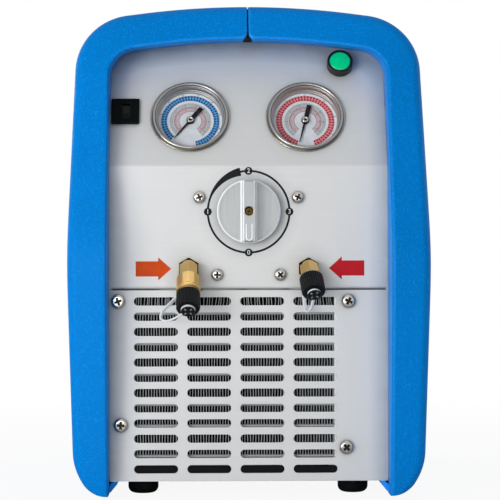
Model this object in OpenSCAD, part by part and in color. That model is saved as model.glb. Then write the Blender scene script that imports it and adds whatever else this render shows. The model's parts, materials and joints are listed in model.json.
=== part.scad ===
// Portable refrigerant recovery machine
// Frame: +Z up, +X to the viewer's right, control panel facing -Y, origin on the floor under the middle.
// All sizes are in millimetres and degrees.

/* [Case] */
// Width across the waist of the two shells
case_w = 266; // [258:1:284]
// Depth of the shells from front nose to rear nose
case_d = 370; // [360:1:410]
// Height from the floor to the crown of the shells
case_h = 369; // [364:1:390]
// Height of the waist, where the shells are widest and reach furthest forward
waist_z = 180; // [165:1:195]
// Gap between the floor and the skirt of the shells
shell_lift = 3.5; // [2:0.5:6]
// How far each side leans in between the waist and the crown
shoulder_in = 5; // [2:0.5:8]
// How far each side leans in between the waist and the skirt
skirt_in = 3.5; // [1:0.5:6]
// Radius of the arched crown
crown_r = 600; // [500:10:900]
// Corner radius of the shoulders
shoulder_r = 44; // [34:1:48]
// Wall of the moulded shells
shell_wall = 4; // [3:0.5:5]
// Rolled outer edge of the rims
rim_r = 7; // [6:0.5:9]
// Rounded inner lip of the rims
lip_r = 3; // [2:0.5:4]
// Backward lean of the front rim above the waist
lean_top = 16; // [10:1:18]
// Backward lean of the front rim below the waist
lean_bottom = 6; // [2:1:9]
// Lean of the rear rim above the waist
rear_lean = 8; // [4:1:10]
// Gap of the seam between the two shells
seam_gap = 0.8; // [0.6:0.1:1.6]
// Rounded corner of each shell at the seam, over the opening
seam_r = 4.5; // [3:0.5:7]

/* [Handle] */
// Width of the grip bar
grip_w = 38; // [32:1:44]
// Height of the grip bar
grip_h = 23; // [18:1:26]
// Length of the hand opening
grip_len = 112; // [100:1:130]
// Width of the finger pocket on each side of the grip
pocket_w = 34; // [30:1:40]
// Depth of the finger pocket below the crown
pocket_deep = 49; // [46:1:54]
// Wall of the pocket
pocket_wall = 3; // [2:0.5:4]

/* [Panels] */
// Width of the opening between the shells
opening_w = 207.5; // [205:0.5:212]
// Height of the band of shell over the opening
crown_band = 28.5; // [25:0.5:33]
// Corner radius of the opening
opening_r = 21; // [14:1:26]
// Depth of the front panel behind the nose of the shells
panel_recess = 33; // [30:1:40]
// Depth of the rear panel behind the rear nose
rear_recess = 34; // [31:1:42]
// Sheet thickness of the panels, brackets and base plate
sheet_t = 1.2; // [1:0.1:1.6]
// Height of the bend where the gauge panel starts to tilt, as a share of the case height
bend_share = 0.6694; // [0.664:0.0002:0.682]
// Backward tilt of the gauge panel
panel_tilt = 25; // [20:1:28]
// Height of the upright part of the control panel
control_h = 91.6; // [90:0.2:94]
// Inside radius of the panel bend
bend_r = 3; // [1:0.5:6]

/* [Grille] */
// Columns of slots
slot_columns = 4; // [3:1:4]
// Rows of slots
slot_rows = 12; // [8:1:12]
// Length of a slot
slot_l = 32.6; // [28:0.2:34]
// Height of a slot
slot_h = 6.1; // [5:0.1:7]
// Column pitch
slot_pitch_x = 39.4; // [37:0.2:40]
// Height of the lowest row
slot_low = 22.1; // [20.5:0.1:26]
// Offset of the pattern to the left of the centre
slot_offset = 9.8; // [6:0.2:12]
// Top row below the joint of the panels
slot_top = 9; // [8:0.2:11]

/* [Feet] */
// Height of a rubber foot
foot_h = 13; // [12:0.5:16]
// Diameter of a rubber foot
foot_d = 23; // [20:0.5:26]
// Spacing of the feet across the machine
foot_span = 160; // [150:1:168]
// Feet behind the front panel and ahead of the rear panel
foot_set = 42; // [38:1:60]

/* [Gauges] */
// Diameter of the bezel flange
gauge_d = 60; // [57:0.5:62]
// Spacing of the two gauges
gauge_span = 86.8; // [85:0.2:90]
// Gauge centres above the bend, along the tilted panel
gauge_up = 41.5; // [38:0.5:44]
// Height of the bezel over the panel
bezel_h = 3.4; // [2.6:0.1:4.5]
// Depth of the dial under the panel
dial_deep = 6.3; // [5.5:0.1:8]
// Depth of the case behind the panel
gauge_deep = 30; // [26:1:32]
// Needle length from its axis to its tip
needle_l = 19.3; // [16:0.1:21]
// Resting angle of the low gauge needle, clockwise from the bottom
low_rest = 38.5; // [30:0.5:60]
// Resting angle of the high gauge needle, clockwise from the bottom
high_rest = 14; // [10:0.5:40]

/* [Start button and breaker] */
// Diameter of the start collar
start_d = 19.4; // [18:0.2:22]
// Height of the start collar
start_h = 7.6; // [7:0.1:9]
// Travel of the start cap
start_travel = 3; // [2:0.1:3]
// Start button right of the centre
start_x = 70.3; // [68:0.1:74]
// Start button below the top of the opening, along the tilted panel
start_drop = 16.9; // [16:0.1:20]
// Side of the breaker frame
breaker_s = 21; // [20:0.2:21.4]
// Breaker left of the centre
breaker_x = 92.2; // [90:0.1:92.4]
// Breaker above the bend, along the tilted panel
breaker_up = 45.6; // [42:0.2:54]

/* [Selector] */
// Knob diameter
knob_d = 47; // [42:0.5:52]
// Knob height over the panel
knob_h = 18.5; // [16:0.5:21]
// Grip width at its root
knob_grip = 12.4; // [11:0.2:15]
// Knob centre below the bend
knob_drop = 34.2; // [33:0.2:36]
// Valve stem diameter
stem_d = 8; // [7:0.1:9]

/* [Ports] */
// Spacing of the two ports
port_span = 89; // [84:0.5:96]
// Port centres below the bend
port_drop = 76.4; // [74:0.2:78]
// Downward slope of the ports
port_slope = 45; // [40:1:50]
// Sideways clock of the outlet
outlet_clock = 8; // [0:1:12]
// Across the corners of the elbow hexagons
port_hex = 15.4; // [14.6:0.2:15.8]
// Across the corners of the filter hexagon
filter_hex = 17.8; // [17:0.2:18.6]
// Length of the inlet hexagon
inlet_hex_l = 10.5; // [9:0.5:13]
// Length of the inlet filter body
filter_l = 13.7; // [10:0.1:16]
// Length of the outlet hexagon
outlet_hex_l = 8.2; // [6.5:0.1:11]
// Diameter of the male flare thread
flare_d = 11.1; // [10.6:0.1:11.4]
// Diameter of the dust caps
cap_d = 17.5; // [17:0.1:19]
// Length of the knurled part of the dust caps
cap_l = 14.4; // [12:0.1:16]

/* [Inside] */
// Left end of the condenser core
core_left = 89.5; // [88:0.5:90]
// Right end of the condenser core
core_right = 61; // [59:0.5:62]
// Thickness of the condenser core
core_d = 28; // [24:1:32]
// Fin pitch of the condenser
fin_pitch = 2.2; // [2:0.1:3]
// Fan diameter as a share of the height of the core
fan_share = 0.91; // [0.8:0.01:0.92]
// Motor diameter
motor_d = 92; // [84:1:100]
// Motor length
motor_l = 108; // [96:1:112]
// Shaft diameter
shaft_d = 8; // [7:0.5:10]
// Width of the crankcase
crank_w = 72; // [66:1:76]
// Length of the crankcase
crank_l = 74; // [66:1:78]
// Diameter of the cylinder fins
cylinder_d = 54; // [48:1:58]

/* [Hidden] */
$fn = 48;

// Shared clearances and small sizes
eps = 0.01;
fit = 0.05;
slip = 0.2;
panel_gap = 0.5;
joint_gap = 0.8;
port_out = 7.5;
ring_t = 2;
neck_t = 2;
head_t = 0.9;
cone_t = 0.6;
cap_head_d = 10.4;
inlet_seat = inlet_hex_l + filter_l + neck_t;
outlet_seat = outlet_hex_l + neck_t;
cap_end = cap_l + cone_t + ring_t + head_t;
elbow_r = 6.4;
stub_r = 5.8;
elbow_back = 1.5;
port_hole_r = 8.4;

// Places along the depth, from the noses of the shells
head_reach = (inlet_seat + cap_end) * cos(port_slope) + cap_head_d / 2 * sin(port_slope);
rim_reach = (inlet_seat + cap_l) * cos(port_slope) + cap_d / 2 * sin(port_slope);
inlet_reach = port_out + max(head_reach, rim_reach);
proud = max(0, inlet_reach - panel_recess);
nose_y = -case_d / 2 + proud / 2;
rear_y = nose_y + case_d;
panel_y = nose_y + panel_recess;
panel_back = panel_y + sheet_t;
rear_panel_y = rear_y - rear_recess;
rear_inside = rear_panel_y - sheet_t;
half_w = case_w / 2;
half_open = opening_w / 2;
open_top = case_h - crown_band;
bend_z = case_h * bend_share;
slope_l = (open_top - bend_z) / cos(panel_tilt);
start_up = slope_l - start_drop;
joint_z = bend_z - control_h;
slot_pitch_z = (joint_z - slot_top - slot_low) / (slot_rows - 1);
knob_z = bend_z - knob_drop;
port_z = bend_z - port_drop;
floor_z = foot_h;
deck_z = floor_z + sheet_t;

// Small helpers for outlines
function lerp(a, b, k) = a + (b - a) * k;
function unit(v) = v / norm(v);
function last(v) = v[len(v) - 1];

// Arc of n + 1 points that rounds the corner b between a and c
function corner(a, b, c, r, n) =
    let (u = unit(a - b), v = unit(c - b), half = acos(u * v) / 2)
    let (reach = r / tan(half), mid = b + unit(u + v) * r / sin(half))
    let (from = b + u * reach - mid, to = b + v * reach - mid, turn = 180 - 2 * half)
    [for (i = [0:n]) mid + (from * sin(turn * (1 - i / n)) + to * sin(turn * i / n)) / sin(turn)];

// Points of an arched top of radius r, at the given distances from the centre
function arch(top, r, xs) = [for (x = xs) [x, top - r + sqrt(r * r - x * x)]];

// Corner point where the arch, carried on straight from its last point, meets a leaning side
function arch_corner(end, top, r, side, slope, base) =
    let (m = end[0] / sqrt(r * r - end[0] * end[0]))
    let (x = (side - slope * (end[1] + m * end[0] - base)) / (1 - slope * m))
    [x, end[1] - m * (x - end[0])];

// Corner cutting that smooths an open route, keeping its ends
function cut_corners(p) = concat([p[0]],
    [for (i = [0:len(p) - 2], k = [0.25, 0.75]) lerp(p[i], p[i + 1], k)], [last(p)]);
function smooth(p, n) = n == 0 ? p : smooth(cut_corners(p), n - 1);

// Outline of the shells, half of it, from the seam over the shoulder down to the heel
crown_x = half_w - 53;
seam_xs = [for (k = [0, 0.2, 0.5, 1]) lerp(seam_gap / 2, seam_gap / 2 + seam_r, k)];
crown_xs = concat(seam_xs, [for (k = [0.25, 0.5, 0.75, 1]) crown_x * k]);
crown = arch(case_h, crown_r, crown_xs);
shoulder_slope = shoulder_in / (case_h - waist_z);
shoulder = arch_corner(last(crown), case_h, crown_r, half_w, shoulder_slope, waist_z);
waist = [half_w, waist_z];
skirt_h = 21.5;
heel_in = 12;
skirt = [half_w - skirt_in, shell_lift + skirt_h];
heel = [skirt[0] - heel_in, shell_lift];
toe = [half_open, shell_lift];
waist_r = 1200;
skirt_r = 15;
heel_r = 8;
shoulder_arc = corner(last(crown), shoulder, waist, shoulder_r, 10);
waist_arc = corner(shoulder, waist, skirt, waist_r, 6);
skirt_arc = corner(waist, skirt, heel, skirt_r, 3);
heel_arc = corner(skirt, heel, toe, heel_r, 3);
side_run = [for (k = [0.35, 0.7]) lerp(last(shoulder_arc), waist_arc[0], k)];
skirt_run = [for (k = [0.5]) lerp(last(waist_arc), skirt_arc[0], k)];
side = concat(side_run, waist_arc, skirt_run, skirt_arc, heel_arc);
outer = concat(crown, shoulder_arc, side);

// Outline of the opening, station for station with the outer one
arch_r = 1000;
open_x = half_open - opening_r - 9;
function seam_lift(x) = x < seam_gap / 2 + seam_r
    ? seam_r - sqrt(max(0, seam_r * seam_r - pow(seam_gap / 2 + seam_r - x, 2))) : 0;
open_xs = concat(seam_xs, [for (k = [0.25, 0.5, 0.75, 1]) open_x * k]);
open_arch = arch(open_top, arch_r, open_xs);
open_corner = arch_corner(last(open_arch), open_top, arch_r, half_open, 0, waist_z);
open_arc = corner(last(open_arch), open_corner, [half_open, waist_z], opening_r, 10);
inner = concat([for (p = open_arch) [p[0], p[1] + seam_lift(p[0])]], open_arc,
    [for (p = side) [half_open, p[1]]]);

// Whole opening as a closed outline, moved in by a gap
function opening(gap) =
    let (arc = [for (p = open_arc) [p[0] - gap, p[1] - gap]])
    let (right = concat([[0, open_top - gap]], arc, [[half_open - gap, floor_z + panel_gap]]))
    concat(right, [for (i = [len(right) - 1:-1:1]) [-right[i][0], right[i][1]]]);

// Side view of a rim: a rounded nose at the waist with a lean above and below it
nose_round = 15;
function lean(z, above, below) =
    let (a = (tan(above) - tan(below)) / 2, c = (tan(above) + tan(below)) / 2, h = z - waist_z)
    a * h + c * sqrt(h * h + nose_round * nose_round) - nose_round * sqrt(c * c - a * a);
function front_y(z) = nose_y + lean(z, lean_top, lean_bottom);
function back_y(z) = rear_y - lean(z, rear_lean, lean_bottom);
return_past = 6;
function front_return(z) = panel_y + return_past + max(0, z - bend_z) * tan(panel_tilt);
function back_return(z) = rear_panel_y - return_past;

// Section of a shell: [inset from the outer outline, depth under the rim] along the skin at depth t
lip_back_r = 0.6;
seam_soft = [1.1, 0.35, 0.08, 0];
function section(w, t) =
    let (lr = t == 0 ? lip_r : lip_back_r, c = t + lr, rr = rim_r - t)
    concat([for (a = [0:30:90]) [w - c + lr * cos(a), c - lr * sin(a)]],
        [for (a = [0:15:90]) [rim_r - rr * sin(a), rim_r - rr * cos(a)]]);
function skin(s, t) =
    let (o = outer[s], i = inner[s], w = norm(i - o), path = section(w, t), n = len(path))
    let (at = [for (q = path) lerp(o, i, q[0] / w)], edge = lerp(o, i, 1 - t / w))
    let (soft = s < len(seam_soft) ? seam_soft[s] : 0)
    concat([[edge[0], front_return(edge[1]), edge[1]]],
        [for (k = [0:n - 1]) [at[k][0], front_y(at[k][1]) + path[k][1] + soft, at[k][1]]],
        [for (k = [n - 1:-1:0]) [at[k][0], back_y(at[k][1]) - path[k][1] - soft, at[k][1]]],
        [[edge[0], back_return(edge[1]), edge[1]]]);

// Places of fasteners and inner pieces
screw_d = 4.8;
pan_small = 9.2;
pan_large = 10.8;
pan_h = 3.2;
valve_high = [36.6, 10.6];
valve_low = [23.4, -46.8];
grille_right_x = core_right + 13;
grille_screw_z = [joint_z - slot_top, 54.8, joint_z - slot_top, 38];
grille_screw_x = [-half_open + 6.9, -half_open + 8.8, grille_right_x, grille_right_x - 1.7];
valve_screw_l = 12;
core_y0 = panel_back + 3.5;
core_y1 = core_y0 + core_d;
core_z0 = deck_z + 12;
core_z1 = joint_z - 4;
drive_x = (core_right - core_left) / 2;
drive_z = (core_z0 + core_z1) / 2;
fan_d = fan_share * (core_z1 - core_z0);
shroud_y = core_y1 + sheet_t;
fan_y = shroud_y + 5;
fan_l = 22;
motor_y = fan_y + fan_l + 8;
crank_y = motor_y + motor_l;
crank_mid = crank_y + crank_l / 2;
tray_edge = half_open - 0.75;
tray_h = 30;
boss_z = deck_z + 18;
boss_ys = [panel_back + 50, rear_inside - 50];
boss_r = 7;
flange_h = 10;

// Placing helpers: local x to the right, local y up the panel, local z out of the panel
module on_slope(x, up) {
    translate([x, panel_y + up * sin(panel_tilt), bend_z + up * cos(panel_tilt)])
        rotate([90 - panel_tilt, 0, 0])
            children();
}

module on_front(x, z) {
    translate([x, panel_y, z])
        rotate([90, 0, 0])
            children();
}

module on_rear(x, z) {
    translate([x, rear_panel_y, z])
        rotate([-90, 0, 0])
            children();
}

module at_port(x, clock) {
    translate([x, panel_y - port_out, port_z])
        rotate([0, -clock, 0])
            rotate([180 - port_slope, 0, 0])
                children();
}

module along_y(x, y, z) {
    translate([x, y, z])
        rotate([-90, 0, 0])
            children();
}

// Upright sheet with an outline in x and z, its front face at y
module upright(y, t) {
    translate([0, y + t, 0])
        rotate([90, 0, 0])
            linear_extrude(height = t)
                children();
}

// Prism along x of an outline given in y and z
module across(w) {
    rotate([90, 0, 90])
        linear_extrude(height = w, center = true)
            children();
}

// Slot with round ends, flat
module slot(l, h) {
    square([l - h, h], center = true);
    for (s = [-1, 1])
        translate([s * (l - h) / 2, 0])
            circle(d = h);
}

// Pan head screw, its head over z = 0 and its shank below
module pan_screw(head_d, head_h, shank_d, shank_l) {
    rotate_extrude()
        polygon(concat([[0, -shank_l], [shank_d / 2, -shank_l], [shank_d / 2, 0], [head_d / 2, 0]],
            [for (a = [0:15:90]) [head_d / 2 - head_h * 0.7 * (1 - cos(a)), head_h * (0.25 + 0.75 * sin(a))]],
            [[0, head_h]]));
}

// Round tube swept along a route
function frames(p, i, u) = i == len(p) ? [] :
    let (a = p[max(0, i - 1)], b = p[min(len(p) - 1, i + 1)], t = unit(b - a))
    let (v = unit(u - t * (u * t)))
    concat([[v, cross(t, v)]], frames(p, i + 1, v));

module tube(p, r, up, sides = 8) {
    f = frames(p, 0, up);
    n = len(p);
    rings = [for (i = [0:n - 1], k = [0:sides - 1])
        p[i] + r * (f[i][0] * cos(360 * k / sides) + f[i][1] * sin(360 * k / sides))];
    walls = [for (i = [0:n - 2], k = [0:sides - 1])
        let (m = (k + 1) % sides, a = i * sides)
        each [[a + k, a + sides + k, a + sides + m], [a + k, a + sides + m, a + m]]];
    ends = concat([for (k = [1:sides - 2]) [0, k, k + 1]],
        [for (k = [1:sides - 2]) [(n - 1) * sides, (n - 1) * sides + k + 1, (n - 1) * sides + k]]);
    polyhedron(rings, concat(walls, ends));
}

// Moulded band of one shell: the section swept from the seam to the heel
module shell_band() {
    stations = len(outer);
    points = [for (s = [0:stations - 1])
        let (back = skin(s, shell_wall))
        each concat(skin(s, 0), [for (k = [len(back) - 1:-1:0]) back[k]])];
    m = len(points) / stations;
    h = m / 2;
    e = (stations - 1) * m;
    walls = [for (s = [0:stations - 2], j = [0:m - 1])
        let (a = s * m + j, b = s * m + (j + 1) % m)
        each [[a, b, b + m], [a, b + m, a + m]]];
    start = [for (k = [0:h - 2]) each [[k, m - 1 - k, m - 2 - k], [k, m - 2 - k, k + 1]]];
    end = [for (k = [0:h - 2]) each [[e + k, e + m - 2 - k, e + m - 1 - k], [e + k, e + k + 1, e + m - 2 - k]]];
    polyhedron(points, concat(walls, start, end));
}

// Rounded upright box from x0 to x1, centred on y = 0
module soft_box(x0, x1, len_y, z0, z1, r) {
    hull()
        for (x = [x0 + r, x1 - r], s = [-1, 1])
            translate([x, s * (len_y / 2 - r), z0])
                cylinder(r = r, h = z1 - z0, $fn = 32);
}

pocket_x = grip_w / 2 + pocket_w;
pocket_z = case_h - pocket_deep;
grip_z = case_h - grip_h;
pocket_r = 10;
liner_top = arch(case_h, crown_r, [pocket_x + pocket_wall])[0][1] - 0.6;

// Hand opening cut through the crown of one shell
module hand_opening() {
    soft_box(grip_w / 2, pocket_x, grip_len, pocket_z, case_h + 1, pocket_r);
}

// Half of the handle: pocket walls, floor and half of the grip bar
module half_handle() {
    soft = 7;
    difference() {
        intersection() {
            soft_box(-pocket_x, pocket_x + pocket_wall, grip_len + 2 * pocket_wall,
                pocket_z - pocket_wall, liner_top, pocket_r + pocket_wall);
            translate([seam_gap / 2, -case_d / 2, 0])
                cube([half_w, case_d, case_h]);
        }
        soft_box(-pocket_x, pocket_x, grip_len, pocket_z, case_h, pocket_r);
    }
    intersection() {
        hull() {
            translate([grip_w / 2 - soft, 0, grip_z + soft])
                rotate([90, 0, 0])
                    cylinder(r = soft, h = grip_len + 2 * pocket_wall, center = true, $fn = 32);
            translate([0, -grip_len / 2 - pocket_wall, grip_z])
                cube([soft, grip_len + 2 * pocket_wall, liner_top - grip_z]);
            translate([0, -grip_len / 2 - pocket_wall, liner_top - soft])
                cube([grip_w / 2, grip_len + 2 * pocket_wall, soft]);
        }
        translate([seam_gap / 2, -case_d / 2, 0])
            cube([half_w, case_d, case_h]);
    }
}

// Closed skirt under one side, with the lip that carries the base plate
module sill() {
    lip = 6;
    sill_z = shell_lift + 0.4;
    y0 = front_y(shell_lift) + shell_wall / 2;
    y1 = back_y(shell_lift) - shell_wall / 2;
    translate([0, y1, 0])
        rotate([90, 0, 0])
            linear_extrude(height = y1 - y0)
                polygon([[half_open + 0.5, sill_z], [last(heel_arc)[0] - shell_wall / 2, sill_z],
                    [heel[0] - 1, sill_z + shell_wall], [half_open + 0.5, sill_z + shell_wall]]);
    translate([0, rear_inside, 0])
        rotate([90, 0, 0])
            linear_extrude(height = rear_inside - panel_back)
                polygon([[half_open + 3, sill_z + 1], [half_open - 1, sill_z + 1], [half_open - lip, floor_z - 2],
                    [half_open - lip, floor_z], [half_open - lip / 2, floor_z],
                    [half_open + 3, sill_z + shell_wall - 1]]);
}

vent_rows = 7;
vent_l = 86;
vent_h = 5;
vent_pitch = 12;
vent_y = 62;
vent_z = 72;

// Air slots in one side, and the deep recesses of the shell screws
module side_cuts() {
    for (i = [0:vent_rows - 1])
        hull()
            for (s = [-1, 1])
                translate([half_w - 20, vent_y + s * (vent_l - vent_h) / 2, vent_z + i * vent_pitch])
                    rotate([0, 90, 0])
                        cylinder(d = vent_h, h = 40, $fn = 16);
    for (y = boss_ys)
        translate([0, y, boss_z])
            rotate([0, 90, 0]) {
                translate([0, 0, half_open + shell_wall])
                    cylinder(r = boss_r - 1.5, h = half_w, $fn = 24);
                cylinder(d = screw_d + 2 * slip, h = half_w, $fn = 16);
            }
}

module screw_bosses() {
    for (y = boss_ys)
        translate([half_open - 0.75, y, boss_z])
            rotate([0, 90, 0])
                cylinder(r = boss_r, h = half_w - half_open - shell_wall, $fn = 24);
}

module shell_half() {
    difference() {
        union() {
            difference() {
                shell_band();
                hand_opening();
            }
            half_handle();
            sill();
            screw_bosses();
        }
        side_cuts();
    }
}

module left_shell() {
    color([0.02, 0.45, 0.82])
        mirror([1, 0, 0])
            shell_half();
}

module right_shell() {
    color([0.02, 0.45, 0.82])
        shell_half();
}

module shell_screws() {
    color("dimgray")
        for (s = [-1, 1], y = boss_ys)
            translate([s * (half_open + shell_wall), y, boss_z])
                rotate([0, s * 90, 0])
                    pan_screw(pan_small, pan_h, screw_d, shell_wall + 6);
}

// Folded tray that carries everything inside
module base_plate() {
    length = rear_inside - panel_back;
    middle = (rear_inside + panel_back) / 2;
    flange_w = opening_w - 16;
    color("silver")
        difference() {
            union() {
                translate([-tray_edge, panel_back, floor_z])
                    cube([2 * tray_edge, length, sheet_t]);
                for (y = [panel_back, rear_inside - sheet_t])
                    translate([-flange_w / 2, y, floor_z])
                        cube([flange_w, sheet_t, flange_h]);
                for (s = [-1, 1])
                    translate([s * (tray_edge - sheet_t / 2), middle, floor_z + tray_h / 2])
                        cube([sheet_t, length - 16, tray_h], center = true);
            }
            for (s = [-1, 1], y = boss_ys)
                translate([s * tray_edge, y, boss_z])
                    rotate([0, 90, 0])
                        cylinder(d = screw_d + 2 * slip, h = 10, center = true);
            foot_places()
                cylinder(d = foot_screw_d + 2 * slip, h = 4 * foot_h, center = true);
        }
}

foot_screw_d = 4;
foot_web = 5;
foot_ys = [panel_back + foot_set, rear_inside - foot_set];

module foot_places() {
    for (s = [-1, 1], y = foot_ys)
        translate([s * foot_span / 2, y, 0])
            children();
}

// Rubber foot with a rounded tread and a recess for its screw
module foot(sx, y) {
    dome = 5;
    tread = foot_d / 2 - dome;
    recess_r = 4.5;
    web = foot_web;
    color([0.08, 0.08, 0.08])
        translate([sx * foot_span / 2, y, 0])
            rotate_extrude()
                polygon(concat([[foot_screw_d / 2 + slip, foot_h], [foot_screw_d / 2 + slip, foot_h - web],
                    [recess_r, foot_h - web], [recess_r, 0]],
                    [for (a = [0:15:90]) [tread + dome * sin(a), dome - dome * cos(a)]],
                    [[foot_d / 2, foot_h]]));
}

module front_left_foot() {
    foot(-1, foot_ys[0]);
}

module front_right_foot() {
    foot(1, foot_ys[0]);
}

module rear_left_foot() {
    foot(-1, foot_ys[1]);
}

module rear_right_foot() {
    foot(1, foot_ys[1]);
}

module foot_screws() {
    head_d = 7.6;
    head_h = 2.6;
    past = 3;
    color("dimgray")
        foot_places()
            translate([0, 0, foot_h - foot_web])
                rotate([180, 0, 0])
                    pan_screw(head_d, head_h, foot_screw_d, foot_web + sheet_t + past);
}

// Bent control panel: upright below, tilted back above, clipped to the opening
module control_panel() {
    top_up = slope_l + 2;
    lean_dir = [sin(panel_tilt), cos(panel_tilt)];
    into = [cos(panel_tilt), -sin(panel_tilt)];
    bend = [panel_y, bend_z];
    foot_pt = [panel_y, joint_z];
    top_pt = bend + top_up * lean_dir;
    back_bend = [panel_back, bend_z - sheet_t * tan(panel_tilt / 2)];
    back_foot = [panel_back, joint_z + sheet_t];
    hem = 8;
    hem_pt = [panel_y + hem, joint_z];
    fold_r = 2;
    color("gainsboro")
        difference() {
            intersection() {
                across(opening_w)
                    polygon(concat(corner(hem_pt, foot_pt, bend, fold_r, 3),
                        corner(foot_pt, bend, top_pt, bend_r + sheet_t, 4),
                        [top_pt, top_pt + sheet_t * into],
                        corner(top_pt + sheet_t * into, back_bend, back_foot, bend_r, 4),
                        corner(back_bend, back_foot, hem_pt + [0, sheet_t], fold_r - sheet_t, 2),
                        [hem_pt + [0, sheet_t], hem_pt]));
                upright(panel_y - 1, top_up * sin(panel_tilt) + hem)
                    polygon(opening(panel_gap));
            }
            for (s = [-1, 1]) {
                on_slope(s * gauge_span / 2, gauge_up)
                    cylinder(r = gauge_body_r + slip, h = 10, center = true);
                on_front(s * port_span / 2, port_z)
                    rotate([0, 0, 30])
                        cylinder(r = port_hole_r, h = 4, center = true, $fn = 6);
                for (v = [valve_high, valve_low])
                    on_front(s * v[0], knob_z + v[1])
                        cylinder(d = screw_d + 2 * slip, h = 4, center = true);
            }
            on_slope(start_x, start_up)
                cylinder(r = start_barrel_r + slip, h = 10, center = true);
            on_slope(-breaker_x, breaker_up)
                cube([breaker_body + 2 * slip, breaker_body + 2 * slip, 10], center = true);
            on_front(0, knob_z)
                cylinder(d = stem_d + 4, h = 4, center = true);
        }
}

// Slotted panel in front of the condenser
module grille_panel() {
    color("gainsboro")
        difference() {
            upright(panel_y, sheet_t)
                difference() {
                    translate([-half_open + panel_gap, floor_z + panel_gap])
                        square([opening_w - 2 * panel_gap, joint_z - joint_gap - floor_z - panel_gap]);
                    for (c = [0:slot_columns - 1], r = [0:slot_rows - 1])
                        translate([(c - (slot_columns - 1) / 2) * slot_pitch_x - slot_offset,
                            joint_z - slot_top - r * slot_pitch_z])
                            slot(slot_l, slot_h);
                }
            for (i = [0:3])
                on_front(grille_screw_x[i], grille_screw_z[i])
                    cylinder(d = screw_d + 2 * slip, h = 4, center = true);
        }
}

module grille_screws() {
    color("silver")
        for (i = [0:3])
            on_front(grille_screw_x[i], grille_screw_z[i])
                pan_screw(pan_large, pan_h, screw_d, 8);
}

rear_columns = 4;
rear_rows = 10;
rear_row_z = 118;
inlet_x = 56;
inlet_z = 62;
inlet_w = 47;
inlet_h = 25;
rear_screw_x = half_open - 9;
rear_screw_zs = [34, waist_z, open_top - 24.5];

// Slotted rear panel with the mains inlet opening
module rear_panel() {
    color("gainsboro")
        difference() {
            upright(rear_inside, sheet_t)
                difference() {
                    polygon(opening(panel_gap));
                    for (c = [0:rear_columns - 1], r = [0:rear_rows - 1])
                        translate([(c - (rear_columns - 1) / 2) * slot_pitch_x, rear_row_z + r * slot_pitch_z])
                            slot(slot_l, slot_h);
                    translate([inlet_x, inlet_z])
                        square([inlet_body_w + 2 * slip, inlet_body_h + 2 * slip], center = true);
                }
            for (s = [-1, 1], z = rear_screw_zs)
                on_rear(s * rear_screw_x, z)
                    cylinder(d = screw_d + 2 * slip, h = 4, center = true);
        }
}

module rear_screws() {
    color("silver")
        for (s = [-1, 1], z = rear_screw_zs)
            on_rear(s * rear_screw_x, z)
                pan_screw(pan_small, pan_h, screw_d, 8);
}

// Gauge sizes, from the flange inwards
gauge_body_r = gauge_d / 2 - 3;
bezel_rim_r = gauge_d / 2 - 1.5;
lens_r = gauge_d / 2 - 3.7;
dial_show_r = gauge_d / 2 - 5.2;
lens_t = 1.6;
lens_seat = bezel_h - 3.2;
dial_t = 0.8;
arbor_d = 1.8;
case_wall = 1.6;
stem_hex = 14;
stem_l = 10;

module gauge_bezel(x) {
    color([0.85, 0.86, 0.88])
        on_slope(x, gauge_up)
            rotate_extrude()
                polygon(concat([[gauge_body_r, 0], [gauge_d / 2, 0], [gauge_d / 2, 0.8], [gauge_d / 2 - 0.4, 1.2],
                    [bezel_rim_r, 1.4]],
                    [for (a = [0:15:90]) [bezel_rim_r - 1 + cos(a), bezel_h - 1 + sin(a)]],
                    [[lens_r + 0.3, bezel_h - 0.4], [lens_r + 0.1, bezel_h - 0.9], [lens_r + 0.1, lens_seat],
                    [lens_r - 0.7, lens_seat], [dial_show_r, -dial_deep], [gauge_body_r, -dial_deep]]));
}

module gauge_lens(x) {
    color([0.9, 0.95, 1, 0.3])
        on_slope(x, gauge_up)
            translate([0, 0, lens_seat])
                cylinder(r = lens_r, h = lens_t);
}

module gauge_dial(x) {
    color("white")
        on_slope(x, gauge_up)
            translate([0, 0, -dial_deep - dial_t])
                difference() {
                    cylinder(r = gauge_body_r - slip, h = dial_t);
                    cylinder(d = arbor_d + 2 * fit, h = 3 * dial_t, center = true);
                }
}

// Cup behind the panel with the threaded socket at its back
module gauge_case(x) {
    top = -dial_deep - dial_t;
    color([0.75, 0.76, 0.78])
        on_slope(x, gauge_up) {
            rotate_extrude()
                polygon([[0, -gauge_deep], [gauge_body_r, -gauge_deep], [gauge_body_r, top],
                    [gauge_body_r - case_wall, top], [gauge_body_r - case_wall, -gauge_deep + case_wall],
                    [0, -gauge_deep + case_wall]]);
            translate([0, 0, -gauge_deep - stem_l])
                cylinder(d = stem_hex, h = stem_l + case_wall / 2, $fn = 6);
        }
}

// Needle lying along local -y, turned clockwise by its resting angle
module gauge_needle(x, rest) {
    z = -dial_deep + 1.2;
    tail = 13.4;
    color([0.08, 0.08, 0.08])
        on_slope(x, gauge_up)
            rotate([0, 0, -rest]) {
                translate([0, 0, z])
                    linear_extrude(height = 0.7)
                        polygon([[-0.3, -needle_l], [0.3, -needle_l], [0.9, 0], [1.7, 2], [1.7, tail],
                            [-1.7, tail], [-1.7, 2], [-0.9, 0]]);
                translate([0, 0, -dial_deep + 0.5])
                    cylinder(r = 3, h = 2.1);
                translate([0, 0, -dial_deep - 6])
                    cylinder(d = arbor_d, h = 9.4);
            }
}

module low_gauge_case() {
    gauge_case(-gauge_span / 2);
}

module low_gauge_bezel() {
    gauge_bezel(-gauge_span / 2);
}

module low_gauge_dial() {
    gauge_dial(-gauge_span / 2);
}

module low_gauge_lens() {
    gauge_lens(-gauge_span / 2);
}

module low_gauge_needle() {
    gauge_needle(-gauge_span / 2, low_rest);
}

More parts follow.
